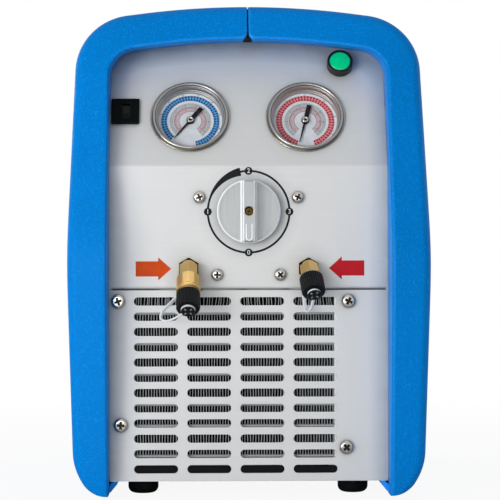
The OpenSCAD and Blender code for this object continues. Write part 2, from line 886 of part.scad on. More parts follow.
module high_gauge_case() {
    gauge_case(gauge_span / 2);
}

module high_gauge_bezel() {
    gauge_bezel(gauge_span / 2);
}

module high_gauge_dial() {
    gauge_dial(gauge_span / 2);
}

module high_gauge_lens() {
    gauge_lens(gauge_span / 2);
}

module high_gauge_needle() {
    gauge_needle(gauge_span / 2, high_rest);
}

// Copper line from a gauge socket down into the top of the valve body
module gauge_line(s) {
    x = s * gauge_span / 2;
    end_in = gauge_deep + stem_l;
    from = [x, panel_y + gauge_up * sin(panel_tilt) + end_in * cos(panel_tilt),
        bend_z + gauge_up * cos(panel_tilt) - end_in * sin(panel_tilt)];
    into = [0, cos(panel_tilt), -sin(panel_tilt)];
    to = [s * lug_x, panel_back + lug_d / 2 + 4, lug_z1];
    line_r = 1.6;
    run_z = to[2] + 8;
    color([0.72, 0.45, 0.2])
        tube(smooth([from, from + 9 * into, [x, from[1] + 18, run_z + 12], [x, from[1] + 8, run_z],
            [to[0], to[1] + 8, run_z], [to[0], to[1], run_z], to], 2), line_r, [1, 0, 0]);
}

module low_gauge_line() {
    gauge_line(-1);
}

module high_gauge_line() {
    gauge_line(1);
}

// Start button: collar with a threaded barrel, a sprung cap and a back nut
start_barrel_r = 8;
start_cap_r = start_d / 2 - 1.75;
start_well = 0.6;
start_nut_z = 3;
start_barrel_l = 20;
start_stem_r = 3;

module start_collar() {
    r = start_d / 2;
    color([0.1, 0.1, 0.1])
        on_slope(start_x, start_up)
            difference() {
                rotate_extrude()
                    polygon([[0, -start_barrel_l], [start_barrel_r, -start_barrel_l], [start_barrel_r, 0], [r, 0],
                        [r, start_h - 1], [r - 0.8, start_h], [start_cap_r + slip, start_h],
                        [start_cap_r + slip, start_well], [0, start_well]]);
                translate([0, 0, -start_barrel_l + 3])
                    cylinder(r = start_stem_r + fit, h = start_barrel_l);
            }
}

module start_cap() {
    foot_z = start_well + start_travel + 0.1;
    top = start_h - 0.5;
    edge_r = 0.8;
    color([0.1, 0.62, 0.3])
        on_slope(start_x, start_up)
            rotate_extrude()
                polygon(concat([[0, foot_z - 12], [start_stem_r, foot_z - 12], [start_stem_r, foot_z],
                    [start_cap_r, foot_z]],
                    [for (a = [0:15:90]) [start_cap_r - edge_r + edge_r * cos(a), top - edge_r + edge_r * sin(a)]],
                    [[0, top + 0.3]]));
}

module start_nut() {
    color([0.15, 0.15, 0.15])
        on_slope(start_x, start_up)
            translate([0, 0, -sheet_t - start_nut_z])
                difference() {
                    cylinder(d = 22, h = start_nut_z, $fn = 6);
                    cylinder(r = start_barrel_r + fit, h = 4 * start_nut_z, center = true);
                }
}

// Breaker: square frame with a recessed rocker on two trunnions
breaker_body = breaker_s - 3.4;
breaker_proud = 2.6;
rocker_w = 6.2;
rocker_l = 11.6;
rocker_x = 0.6;
rocker_z = -1.4;
rocker_swing = 8;
trunnion_r = 1.1;
trunnion_l = 1;
well_deep = 7;

module breaker_frame() {
    half = breaker_s / 2;
    bevel = 0.8;
    deep = 24;
    color([0.07, 0.07, 0.07])
        on_slope(-breaker_x, breaker_up)
            difference() {
                union() {
                    translate([-half, -half, 0])
                        cube([breaker_s, breaker_s, breaker_proud - bevel]);
                    translate([-half + bevel, -half + bevel, 0])
                        cube([breaker_s - 2 * bevel, breaker_s - 2 * bevel, breaker_proud]);
                    translate([-breaker_body / 2, -breaker_body / 2, -deep])
                        cube([breaker_body, breaker_body, deep + bevel]);
                }
                translate([rocker_x, 0, breaker_proud - well_deep])
                    linear_extrude(height = 2 * well_deep)
                        square([rocker_w + 0.6, rocker_l + 1], center = true);
                translate([rocker_x, 0, rocker_z])
                    rotate([0, 90, 0])
                        cylinder(r = trunnion_r + fit, h = rocker_w + 0.6 + 2 * trunnion_l + 0.4, center = true);
            }
}

module breaker_rocker() {
    half = rocker_l / 2;
    crest = 1.6;
    color([0.12, 0.12, 0.12])
        on_slope(-breaker_x, breaker_up)
            translate([rocker_x, 0, rocker_z])
                rotate([-rocker_swing, 0, 0]) {
                    across(rocker_w)
                        polygon([[-half, crest + 0.5], [-half + 0.3, crest + 0.8], [0, crest - 0.2],
                            [half - 0.3, crest + 0.8], [half, crest + 0.5], [half - 0.4, -1], [1.6, -2.4],
                            [-1.6, -2.4], [-half + 0.4, -1]]);
                    rotate([0, 90, 0])
                        cylinder(r = trunnion_r, h = rocker_w + 0.6 + 2 * trunnion_l, center = true);
                }
}

// Selector valve: round body with a top bar for two screws and a manifold bar for the ports
valve_r = 30;
valve_d = 40;
lug_x = 44;
lug_d = 16;
lug_half = 8;
lug_z1 = knob_z + valve_high[1] + lug_half;
manifold_w = port_span + 32;
manifold_d = 34;
manifold_z0 = joint_z + sheet_t + 1.4;
manifold_z1 = port_z + 18;
stem_in = 20;

module valve_body() {
    color([0.78, 0.66, 0.38])
        difference() {
            union() {
                along_y(0, panel_back, knob_z)
                    cylinder(r = valve_r, h = valve_d);
                translate([-lug_x - 4, panel_back, knob_z + valve_high[1] - lug_half])
                    cube([2 * lug_x + 8, lug_d, 2 * lug_half]);
                translate([-manifold_w / 2, panel_back, manifold_z0])
                    cube([manifold_w, manifold_d, manifold_z1 - manifold_z0]);
            }
            along_y(0, panel_back - 1, knob_z)
                cylinder(d = stem_d + 2 * fit, h = stem_in + 1);
            for (s = [-1, 1], v = [valve_high, valve_low])
                on_front(s * v[0], knob_z + v[1])
                    cylinder(d = screw_d + 2 * fit, h = 2 * valve_screw_l + 6, center = true);
        }
}

module valve_screws() {
    color("silver")
        for (s = [-1, 1], v = [valve_high, valve_low])
            on_front(s * v[0], knob_z + v[1])
                pan_screw(pan_small, pan_h, screw_d, valve_screw_l);
}

// Selector knob with its raised grip bar, pointer and screw well
knob_under = 0.9;
knob_disc = 8;
screw_well = 6;
knob_floor = knob_h - screw_well;
stem_end = knob_disc + 1;

module knob() {
    r = knob_d / 2;
    top_w = knob_grip - 4.6;
    color([0.72, 0.73, 0.74])
        on_front(0, knob_z)
            difference() {
                union() {
                    rotate_extrude()
                        polygon([[0, knob_under], [r - 0.9, knob_under], [r, knob_under + 0.9], [r, knob_disc - 1.2],
                            [r - 1.2, knob_disc], [0, knob_disc]]);
                    intersection() {
                        rotate([90, 0, 0])
                            linear_extrude(height = knob_d, center = true)
                                polygon([[-knob_grip / 2, knob_disc - 1], [knob_grip / 2, knob_disc - 1],
                                    [top_w / 2 + 0.5, knob_h - 0.5], [top_w / 2 - 0.3, knob_h],
                                    [-top_w / 2 + 0.3, knob_h], [-top_w / 2 - 0.5, knob_h - 0.5]]);
                        cylinder(r1 = r - 0.2, r2 = r - 1, h = knob_h + 1);
                    }
                }
                translate([0, 0, knob_floor])
                    cylinder(d = 6.7, h = knob_h);
                cylinder(d = stem_d + 2 * fit, h = stem_end);
                cylinder(d = 3.4, h = knob_h);
                translate([0, -r + 4, knob_h - 0.6])
                    linear_extrude(height = 2)
                        difference() {
                            pointer(4.4, 10);
                            pointer(2.8, 11);
                        }
            }
}

// Pointer mark of width w, round at its outer end and open at its inner one
module pointer(w, l) {
    circle(d = w);
    translate([-w / 2, 0])
        square([w, l]);
}

module knob_screw() {
    color([0.75, 0.6, 0.25])
        on_front(0, knob_z)
            translate([0, 0, knob_floor])
                pan_screw(6.2, 2, 3, 10);
}

module valve_stem() {
    color([0.78, 0.66, 0.38])
        on_front(0, knob_z)
            difference() {
                translate([0, 0, -sheet_t - stem_in + 1])
                    cylinder(d = stem_d, h = sheet_t + stem_in - 1 + stem_end - 0.2);
                translate([0, 0, knob_floor - 11])
                    cylinder(d = 3 + 2 * fit, h = 40);
            }
}

// Hexagon of length l with its corners turned off at both ends
module turned_hex(d, l) {
    cut = 1.1;
    intersection() {
        cylinder(d = d, h = l, $fn = 6);
        rotate_extrude()
            polygon([[0, 0], [d / 2 - cut, 0], [d / 2, cut * 0.6], [d / 2, l - cut * 0.6], [d / 2 - cut, l], [0, l]]);
    }
}

// Elbow of a port: a stub through the panel, a ball and a hexagon along the slope
module port_elbow(s, clock, hex_l, turn) {
    color([0.82, 0.68, 0.35]) {
        along_y(s * port_span / 2, panel_y - port_out, port_z)
            cylinder(r = stub_r, h = port_out + sheet_t);
        translate([s * port_span / 2, panel_y - port_out, port_z])
            sphere(r = elbow_r);
        at_port(s * port_span / 2, clock)
            rotate([0, 0, turn])
                translate([0, 0, -elbow_back])
                    turned_hex(port_hex, hex_l + elbow_back);
    }
}

// Male flare end under a dust cap
module flare(z) {
    translate([0, 0, z - 1])
        cylinder(d = flare_d, h = neck_t + cap_l - 3);
}

module inlet_elbow() {
    port_elbow(-1, 0, inlet_hex_l, 30);
}

module inlet_filter() {
    color([0.85, 0.7, 0.36])
        at_port(-port_span / 2, 0) {
            translate([0, 0, inlet_hex_l])
                turned_hex(filter_hex, filter_l);
            flare(inlet_hex_l + filter_l);
        }
}

module outlet_elbow() {
    port_elbow(1, outlet_clock, outlet_hex_l, 30);
    color([0.82, 0.68, 0.35])
        at_port(port_span / 2, outlet_clock)
            flare(outlet_hex_l);
}

// Knurled dust cap with a post and head that hold the tether
ribs = 30;
post_r = 3.5;
split_w = 1.6;

module dust_cap(x, clock, seat) {
    r = cap_d / 2;
    bore = cap_l - 1.5;
    color([0.06, 0.06, 0.06])
        at_port(x, clock)
            translate([0, 0, seat])
                difference() {
                    union() {
                        linear_extrude(height = cap_l)
                            polygon([for (i = [0:4 * ribs - 1])
                                let (a = 90 * i / ribs, d = (i % 4 < 2) ? r : r - 0.45) [d * cos(a), d * sin(a)]]);
                        translate([0, 0, cap_l - eps])
                            cylinder(r1 = r - 0.5, r2 = cap_head_d / 2 + 0.6, h = cone_t + eps);
                        translate([0, 0, cap_l])
                            cylinder(r = post_r, h = cone_t + ring_t + head_t / 2);
                        translate([0, 0, cap_l + cone_t + ring_t])
                            cylinder(d = cap_head_d, h = head_t);
                    }
                    cylinder(d = flare_d + 2 * fit, h = 2 * bore, center = true);
                    for (a = [45, 135])
                        translate([0, 0, cap_l + cone_t + ring_t + head_t])
                            rotate([0, 0, a])
                                cube([2 * cap_d, split_w, head_t], center = true);
                }
}

module inlet_cap() {
    dust_cap(-port_span / 2, 0, inlet_seat);
}

module outlet_cap() {
    dust_cap(port_span / 2, outlet_clock, outlet_seat);
}

// Tether: a ring round the neck, a strap and a ring round the cap's post
strap_r = 0.7;
ring_gap = 0.3;
neck_ring_d = flare_d + 2.5;
eye_w = 2.3;

module tether(x, clock, seat, route) {
    ring_z = seat + cap_l + cone_t;
    color([0.93, 0.93, 0.9])
        at_port(x, clock) {
            translate([0, 0, seat - neck_t])
                difference() {
                    cylinder(d = neck_ring_d, h = neck_t - ring_gap);
                    cylinder(d = flare_d + 2 * slip, h = 4 * neck_t, center = true);
                }
            translate([0, 0, ring_z + ring_gap])
                difference() {
                    cylinder(r = post_r + eye_w, h = ring_t - 2 * ring_gap);
                    cylinder(r = post_r + ring_gap, h = 4 * ring_t, center = true);
                }
            translate([0, 0, seat])
                tube(smooth(route, 2), strap_r, [0, 1, 0]);
        }
}

neck_mid = -ring_gap - strap_r;
ring_mid = cap_l + cone_t + ring_t / 2;
inlet_route = [[-5.2, -3, neck_mid], [-9, -4.6, neck_mid], [-13, -6.5, 3], [-18.5, -9.5, 7], [-20.5, -13, 12],
    [-16.5, -12.5, ring_mid - 0.5], [-10, -9, ring_mid], [-3.6, -3.3, ring_mid]];
outlet_route = [[-3.5, -5, neck_mid], [-5.6, -9, neck_mid], [-6.9, -13.5, 3], [-7, -17, 8], [-6.9, -19.5, 14],
    [-5, -17.5, ring_mid + 0.5], [-2.5, -13, ring_mid + 1], [-1.5, -8.5, ring_mid], [-0.5, -4.9, ring_mid]];

module inlet_tether() {
    tether(-port_span / 2, 0, inlet_seat, inlet_route);
}

module outlet_tether() {
    tether(port_span / 2, outlet_clock, outlet_seat, outlet_route);
}

// Condenser: one comb of upright fins, drawn as a single outline from above
module condenser_core() {
    count = floor((core_right + core_left - 2) / fin_pitch);
    start = drive_x - count * fin_pitch / 2;
    fin = 0.7;
    web0 = core_y0 + core_d / 3;
    web1 = core_y1 - core_d / 3;
    color([0.35, 0.36, 0.37])
        translate([0, 0, core_z0])
            linear_extrude(height = core_z1 - core_z0)
                polygon(concat([[-core_left, web0]],
                    [for (i = [0:count]) let (x = start + i * fin_pitch)
                        each [[x - fin / 2, web0], [x - fin / 2, core_y0], [x + fin / 2, core_y0], [x + fin / 2, web0]]],
                    [[core_right, web0], [core_right, web1]],
                    [for (i = [count:-1:0]) let (x = start + i * fin_pitch)
                        each [[x + fin / 2, web1], [x + fin / 2, core_y1], [x - fin / 2, core_y1], [x - fin / 2, web1]]],
                    [[-core_left, web1]]));
}

// Folded end bracket of the condenser with the flange that the grille screws hold
module bracket(x, edge, screws) {
    s = sign(x);
    low = floor_z + flange_h + 0.5;
    flange_x0 = min(x, edge);
    color("gainsboro")
        difference() {
            union() {
                translate([min(x, x + s * sheet_t), panel_back, deck_z])
                    cube([sheet_t, core_y1 - panel_back, core_z1 - deck_z]);
                translate([flange_x0, panel_back, low])
                    cube([abs(edge - x), sheet_t, core_z1 - low]);
            }
            translate([x - 3, panel_back - 1, deck_z - 1])
                cube([6, sheet_t + 1.5, low - deck_z + 1]);
            for (i = screws)
                on_front(grille_screw_x[i], grille_screw_z[i])
                    cylinder(d = screw_d + 2 * fit, h = 20, center = true);
        }
}

module left_bracket() {
    bracket(-core_left, -half_open + 2, [0, 1]);
}

module right_bracket() {
    bracket(core_right, grille_right_x + 8, [2, 3]);
}

// Copper return bends on the outside of both brackets
module condenser_bends() {
    pitch = 20;
    tube_r = 3.6;
    lowest = floor_z + tray_h + pitch / 2;
    count = floor((core_z1 - lowest) / (2 * pitch));
    color([0.72, 0.45, 0.2])
        for (s = [-1, 1], i = [0:count - 1])
            translate([s < 0 ? -core_left - sheet_t : core_right + sheet_t, (core_y0 + core_y1) / 2,
                lowest + (2 * i + (s < 0 ? 0 : 0.5)) * pitch])
                rotate([90, 0, s * 90 - 90])
                    rotate([0, 0, -90])
                        rotate_extrude(angle = 180)
                            translate([pitch / 2, 0])
                                circle(r = tube_r, $fn = 24);
}

// Shroud plate with a round duct for the fan
duct_r = fan_d / 2 + 3;

module fan_shroud() {
    duct_l = 20;
    color([0.2, 0.2, 0.21])
        difference() {
            union() {
                translate([-core_left - sheet_t, core_y1, deck_z])
                    cube([core_left + core_right + 2 * sheet_t, sheet_t, core_z1 - deck_z]);
                along_y(drive_x, core_y1, drive_z)
                    cylinder(r = duct_r + 1.5, h = duct_l);
            }
            along_y(drive_x, core_y1 - 1, drive_z)
                cylinder(r = duct_r, h = duct_l + 10);
        }
}

// Axial fan: five pitched blades on a hub
module fan() {
    hub_r = 17;
    blades = 5;
    pitch = 32;
    color([0.25, 0.25, 0.26])
        along_y(drive_x, fan_y, drive_z)
            difference() {
                union() {
                    cylinder(r = hub_r, h = fan_l);
                    for (i = [0:blades - 1])
                        rotate([0, 0, 360 * i / blades])
                            intersection() {
                                difference() {
                                    cylinder(d = fan_d, h = fan_l);
                                    cylinder(r = hub_r - 1, h = 3 * fan_l, center = true);
                                }
                                translate([fan_d / 4, 0, fan_l / 2])
                                    rotate([pitch, 0, 0])
                                        cube([fan_d / 2, 46, 1.8], center = true);
                            }
                }
                cylinder(d = shaft_d + 2 * fit, h = 3 * fan_l, center = true);
            }
}

shaft_in = 14;

module motor_shaft() {
    color("silver")
        along_y(drive_x, fan_y - 2, drive_z)
            cylinder(d = shaft_d, h = motor_y - fan_y + 2 + shaft_in - 1);
}

// Motor with stepped end bells
module motor() {
    r = motor_d / 2;
    color([0.3, 0.32, 0.34])
        along_y(drive_x, motor_y, drive_z)
            difference() {
                rotate_extrude()
                    polygon([[0, 0], [16, 0], [16, 5], [r - 8, 5], [r - 2, 11], [r - 2, 16], [r, 16],
                        [r, motor_l - 16], [r - 2, motor_l - 16], [r - 2, motor_l - 8], [28, motor_l - 8],
                        [28, motor_l], [0, motor_l]]);
                cylinder(d = shaft_d + 2 * fit, h = 2 * shaft_in, center = true);
            }
}

// Two saddles that carry the motor on the base plate
module motor_cradle() {
    saddle = 5;
    color([0.2, 0.2, 0.21])
        difference() {
            union() {
                for (k = [0.25, 0.75])
                    translate([drive_x - 32, motor_y + motor_l * k - saddle / 2, deck_z])
                        cube([64, saddle, drive_z - deck_z - 20]);
                translate([drive_x - 32, motor_y + motor_l * 0.25, deck_z])
                    cube([64, motor_l / 2, 3]);
            }
            along_y(drive_x, motor_y, drive_z)
                cylinder(d = motor_d + 2 * slip, h = motor_l);
        }
}

// Crankcase on its foot, with flat sides for the cylinders
crank_h = 84;

module crankcase() {
    foot_w = 54;
    edge = 10;
    z0 = drive_z - crank_h / 2;
    color([0.62, 0.63, 0.65]) {
        translate([drive_x, crank_y, drive_z])
            rotate([-90, 0, 0])
                linear_extrude(height = crank_l)
                    polygon([for (c = [[1, 1], [-1, 1], [-1, -1], [1, -1]])
                        each (c[0] * c[1] > 0
                            ? [[c[0] * crank_w / 2, c[1] * (crank_h / 2 - edge)], [c[0] * (crank_w / 2 - edge), c[1] * crank_h / 2]]
                            : [[c[0] * (crank_w / 2 - edge), c[1] * crank_h / 2], [c[0] * crank_w / 2, c[1] * (crank_h / 2 - edge)]])]);
        translate([drive_x - foot_w / 2, crank_mid - 24, deck_z])
            cube([foot_w, 48, z0 - deck_z + 1]);
        translate([drive_x - foot_w / 2 - 8, crank_mid - 24, deck_z])
            cube([foot_w + 16, 48, 5]);
    }
}

// Finned cylinder with its head, lying out to one side of the crankcase
cylinder_l = 26;
head_l = 12;

module compressor_cylinder(s) {
    fins = 5;
    fin_t = 2;
    step = cylinder_l / fins;
    core_r = cylinder_d / 2 - 6;
    head_s = cylinder_d - 2;
    color([0.66, 0.67, 0.69])
        translate([drive_x + s * crank_w / 2, crank_mid, drive_z])
            rotate([0, s * 90, 0]) {
                rotate_extrude()
                    polygon(concat([[0, 0]],
                        [for (i = [0:fins - 1]) each [[core_r, i * step], [core_r, (i + 1) * step - fin_t],
                            [cylinder_d / 2, (i + 1) * step - fin_t], [cylinder_d / 2, (i + 1) * step]]],
                        [[0, cylinder_l]]));
                translate([-head_s / 2, -head_s / 2, cylinder_l])
                    cube([head_s, head_s, head_l]);
            }
}

module left_cylinder() {
    compressor_cylinder(-1);
}

module right_cylinder() {
    compressor_cylinder(1);
}

// Motor capacitor standing on the base plate
cap_can_r = 19;
cap_can_h = 82;
cap_can_x = half_open - 21.75;
cap_can_y = motor_y + motor_l * 0.45;

module capacitor() {
    color([0.85, 0.85, 0.86])
        translate([cap_can_x, cap_can_y, deck_z])
            rotate_extrude()
                polygon([[0, 0], [cap_can_r, 0], [cap_can_r, cap_can_h], [cap_can_r - 1.5, cap_can_h + 2],
                    [cap_can_r - 4, cap_can_h + 2], [cap_can_r - 4, cap_can_h], [5, cap_can_h],
                    [5, cap_can_h + 10], [0, cap_can_h + 10]]);
}

// Mains inlet: a flanged socket in the rear panel with three blades
inlet_body_w = 28;
inlet_body_h = 21;
inlet_deep = 24;

module power_inlet() {
    well = 17;
    blade_l = 10;
    color([0.08, 0.08, 0.08])
        on_rear(inlet_x, inlet_z)
            union() {
                difference() {
                    union() {
                        translate([-inlet_w / 2, -inlet_h / 2, 0])
                            cube([inlet_w, inlet_h, 3]);
                        translate([-inlet_body_w / 2, -inlet_body_h / 2, -inlet_deep])
                            cube([inlet_body_w, inlet_body_h, inlet_deep + 1]);
                    }
                    translate([0, 0, 3 - well])
                        linear_extrude(height = 2 * well)
                            polygon([[-12, -8], [12, -8], [12, 4], [8, 8], [-8, 8], [-12, 4]]);
                }
                for (p = [[-7, -2], [0, 2], [7, -2]])
                    translate([p[0] - 1, p[1] - 2, 3 - well - 1])
                        cube([2, 4, blade_l + 1]);
            }
}

// Copper pipes between the compressor heads, the condenser and the manifold
pipe_r = 4;

module discharge_pipe() {
    from = [drive_x + crank_w / 2 + cylinder_l + head_l / 2, crank_mid, drive_z + cylinder_d / 2 - 1];
    to = [manifold_w / 2 - 14, panel_back + manifold_d, (manifold_z0 + manifold_z1) / 2];
    color([0.72, 0.45, 0.2])
        tube(smooth([from, from + [0, 0, 30], from + [0, -6, 62], [to[0] + 2, -10, to[2] + 16],
            [to[0], to[1] + 40, to[2]], to], 2), pipe_r, [1, 0, 0]);
}

module suction_pipe() {
    from = [drive_x - crank_w / 2 - cylinder_l - head_l / 2, crank_mid, drive_z + cylinder_d / 2 - 1];
    to = [-manifold_w / 2 + 14, panel_back + manifold_d, (manifold_z0 + manifold_z1) / 2];
    color([0.72, 0.45, 0.2])
        tube(smooth([from, from + [0, 0, 30], from + [0, -6, 62], [to[0] - 2, -10, to[2] + 16],
            [to[0], to[1] + 40, to[2]], to], 2), pipe_r, [1, 0, 0]);
}

base_plate();
left_shell();
right_shell();
shell_screws();
control_panel();
grille_panel();
grille_screws();
rear_panel();
rear_screws();
front_left_foot();
front_right_foot();
rear_left_foot();
rear_right_foot();
foot_screws();
low_gauge_case();
low_gauge_bezel();
low_gauge_dial();
low_gauge_lens();
low_gauge_needle();
high_gauge_case();
high_gauge_bezel();
high_gauge_dial();
high_gauge_lens();
high_gauge_needle();
low_gauge_line();
high_gauge_line();
start_collar();
start_cap();
start_nut();
breaker_frame();
breaker_rocker();
valve_body();
valve_screws();
valve_stem();
knob();
knob_screw();
inlet_elbow();
inlet_filter();
inlet_cap();
inlet_tether();
outlet_elbow();
outlet_cap();
outlet_tether();
condenser_core();
left_bracket();
right_bracket();
condenser_bends();
fan_shroud();
fan();
motor_shaft();
motor();
motor_cradle();
crankcase();
left_cylinder();
right_cylinder();
capacitor();
power_inlet();
discharge_pipe();
suction_pipe();
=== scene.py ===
"""Looks of a portable refrigerant recovery machine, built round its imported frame.

Pieces are drafted in millimetres, each in a local frame, and put in place in metres.
"""
import json
import logging
import math
from dataclasses import dataclass
from enum import Enum
from typing import Optional, Sequence, Union

import bmesh
import bpy
from mathutils import Matrix, Vector


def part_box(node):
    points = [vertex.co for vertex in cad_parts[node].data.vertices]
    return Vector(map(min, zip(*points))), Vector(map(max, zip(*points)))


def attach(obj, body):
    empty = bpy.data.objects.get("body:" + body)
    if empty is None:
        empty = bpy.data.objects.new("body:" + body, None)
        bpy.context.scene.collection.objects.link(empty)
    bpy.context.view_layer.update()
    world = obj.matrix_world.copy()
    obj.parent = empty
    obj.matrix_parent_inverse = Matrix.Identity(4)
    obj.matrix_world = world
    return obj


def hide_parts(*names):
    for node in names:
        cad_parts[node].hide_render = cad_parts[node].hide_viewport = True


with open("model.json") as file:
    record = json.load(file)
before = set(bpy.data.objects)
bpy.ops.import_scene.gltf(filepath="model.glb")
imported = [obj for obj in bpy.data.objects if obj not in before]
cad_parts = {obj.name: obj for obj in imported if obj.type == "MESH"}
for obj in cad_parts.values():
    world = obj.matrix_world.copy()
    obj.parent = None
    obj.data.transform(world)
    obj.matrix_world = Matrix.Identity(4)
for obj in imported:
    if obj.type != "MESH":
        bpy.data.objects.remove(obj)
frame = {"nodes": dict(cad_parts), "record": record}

LOG = logging.getLogger("recovery_machine")
MM = 0.001
TAU = 2 * math.pi
WELD = 1e-4
FONT_SCALE = 1.38
PRINT_LOW = 0.01
WHITE = (1.0, 1.0, 1.0, 1.0)

Pair = tuple[float, float]
Colour = tuple[float, float, float]
Points = Sequence[Sequence[float]]
Socket = bpy.types.NodeSocket
Feed = Union[float, Sequence[float], Socket]


class Side(Enum):
    """Sides of the machine, as the viewer sees it."""

    LEFT = -1
    RIGHT = 1


class Mix(Enum):
    """Ways of joining two drafts into one solid."""

    ADD = "UNION"
    CUT = "DIFFERENCE"
    KEEP = "INTERSECT"


# Shapes


def spread(low: float, high: float, pieces: int) -> list[float]:
    """Even values from one to another, one more than the pieces between them."""
    return [low + (high - low) * i / pieces for i in range(pieces + 1)]


def quarter(pieces: int) -> list[float]:
    """Angles of a quarter turn in radians."""
    return spread(0, math.pi / 2, pieces)


def turned(degrees: float, axis: str) -> Matrix:
    """Matrix of a turn about an axis."""
    return Matrix.Rotation(math.radians(degrees), 4, axis)


def moved(x: float, y: float, z: float = 0.0) -> Matrix:
    """Matrix of a move."""
    return Matrix.Translation((x, y, z))


def arc(centre: Pair, radius: float, start: float, end: float, steps: int) -> list[Pair]:
    """Points of a circular arc.

    Args:
        centre: middle of the circle.
        radius: its radius.
        start: first angle in degrees, counted from the first axis.
        end: last angle in degrees.
        steps: number of pieces.

    Returns:
        The points, one more than the pieces.
    """
    turns = [math.radians(a) for a in spread(start, end, steps)]
    return [(centre[0] + radius * math.cos(t), centre[1] + radius * math.sin(t)) for t in turns]


def clock(radius: float, angle: float) -> Pair:
    """Point on a dial, the angle in degrees clockwise from the bottom."""
    return -radius * math.sin(math.radians(angle)), -radius * math.cos(math.radians(angle))


def corner(a: Vector, b: Vector, c: Vector, radius: float, steps: int) -> list[Vector]:
    """Rounds the corner b between a and c.

    Args:
        a: point before the corner.
        b: the corner.
        c: point after the corner.
        radius: radius of the round.
        steps: number of pieces.

    Returns:
        The points of the round.
    """
    u, v = (a - b).normalized(), (c - b).normalized()
    half = math.acos(u.dot(v)) / 2
    middle = b + (u + v).normalized() * radius / math.sin(half)
    first, last = (b + way * radius / math.tan(half) - middle for way in (u, v))
    turn = math.pi - 2 * half
    shares = [(math.sin(turn * (1 - i / steps)), math.sin(turn * i / steps)) for i in range(steps + 1)]
    return [middle + (first * p + last * q) / math.sin(turn) for p, q in shares]


def box_outline(width: float, height: float, radius: float, steps: int = 6) -> list[Pair]:
    """Outline of a rectangle with round corners, centred on the origin.

    Args:
        width: size along the first axis.
        height: size along the second axis.
        radius: radius of the corners.
        steps: pieces of each corner.

    Returns:
        The closed outline.
    """
    x, y = width / 2 - radius, height / 2 - radius
    return [p for cx, cy, a in ((x, y, 0), (-x, y, 90), (-x, -y, 180), (x, -y, 270))
            for p in arc((cx, cy), radius, a, a + 90, steps)]


def smooth(route: Points, rounds: int = 3) -> list[Vector]:
    """Cuts the corners of a route, keeping its ends.

    Args:
        route: points in space.
        rounds: how often the corners are cut.

    Returns:
        The smoother route.
    """
    points = [Vector(p) for p in route]
    for _ in range(rounds):
        cut = [a.lerp(b, k) for a, b in zip(points, points[1:]) for k in (0.25, 0.75)]
        points = [points[0], *cut, points[-1]]
    return points


def show(thing: bpy.types.Object) -> None:
    """Puts an object into the scene."""
    bpy.context.scene.collection.objects.link(thing)


def final_mesh(thing: bpy.types.Object) -> bpy.types.Mesh:
    """Mesh of an object with its modifiers applied."""
    bpy.context.view_layer.update()
    return bpy.data.meshes.new_from_object(thing.evaluated_get(bpy.context.evaluated_depsgraph_get()))


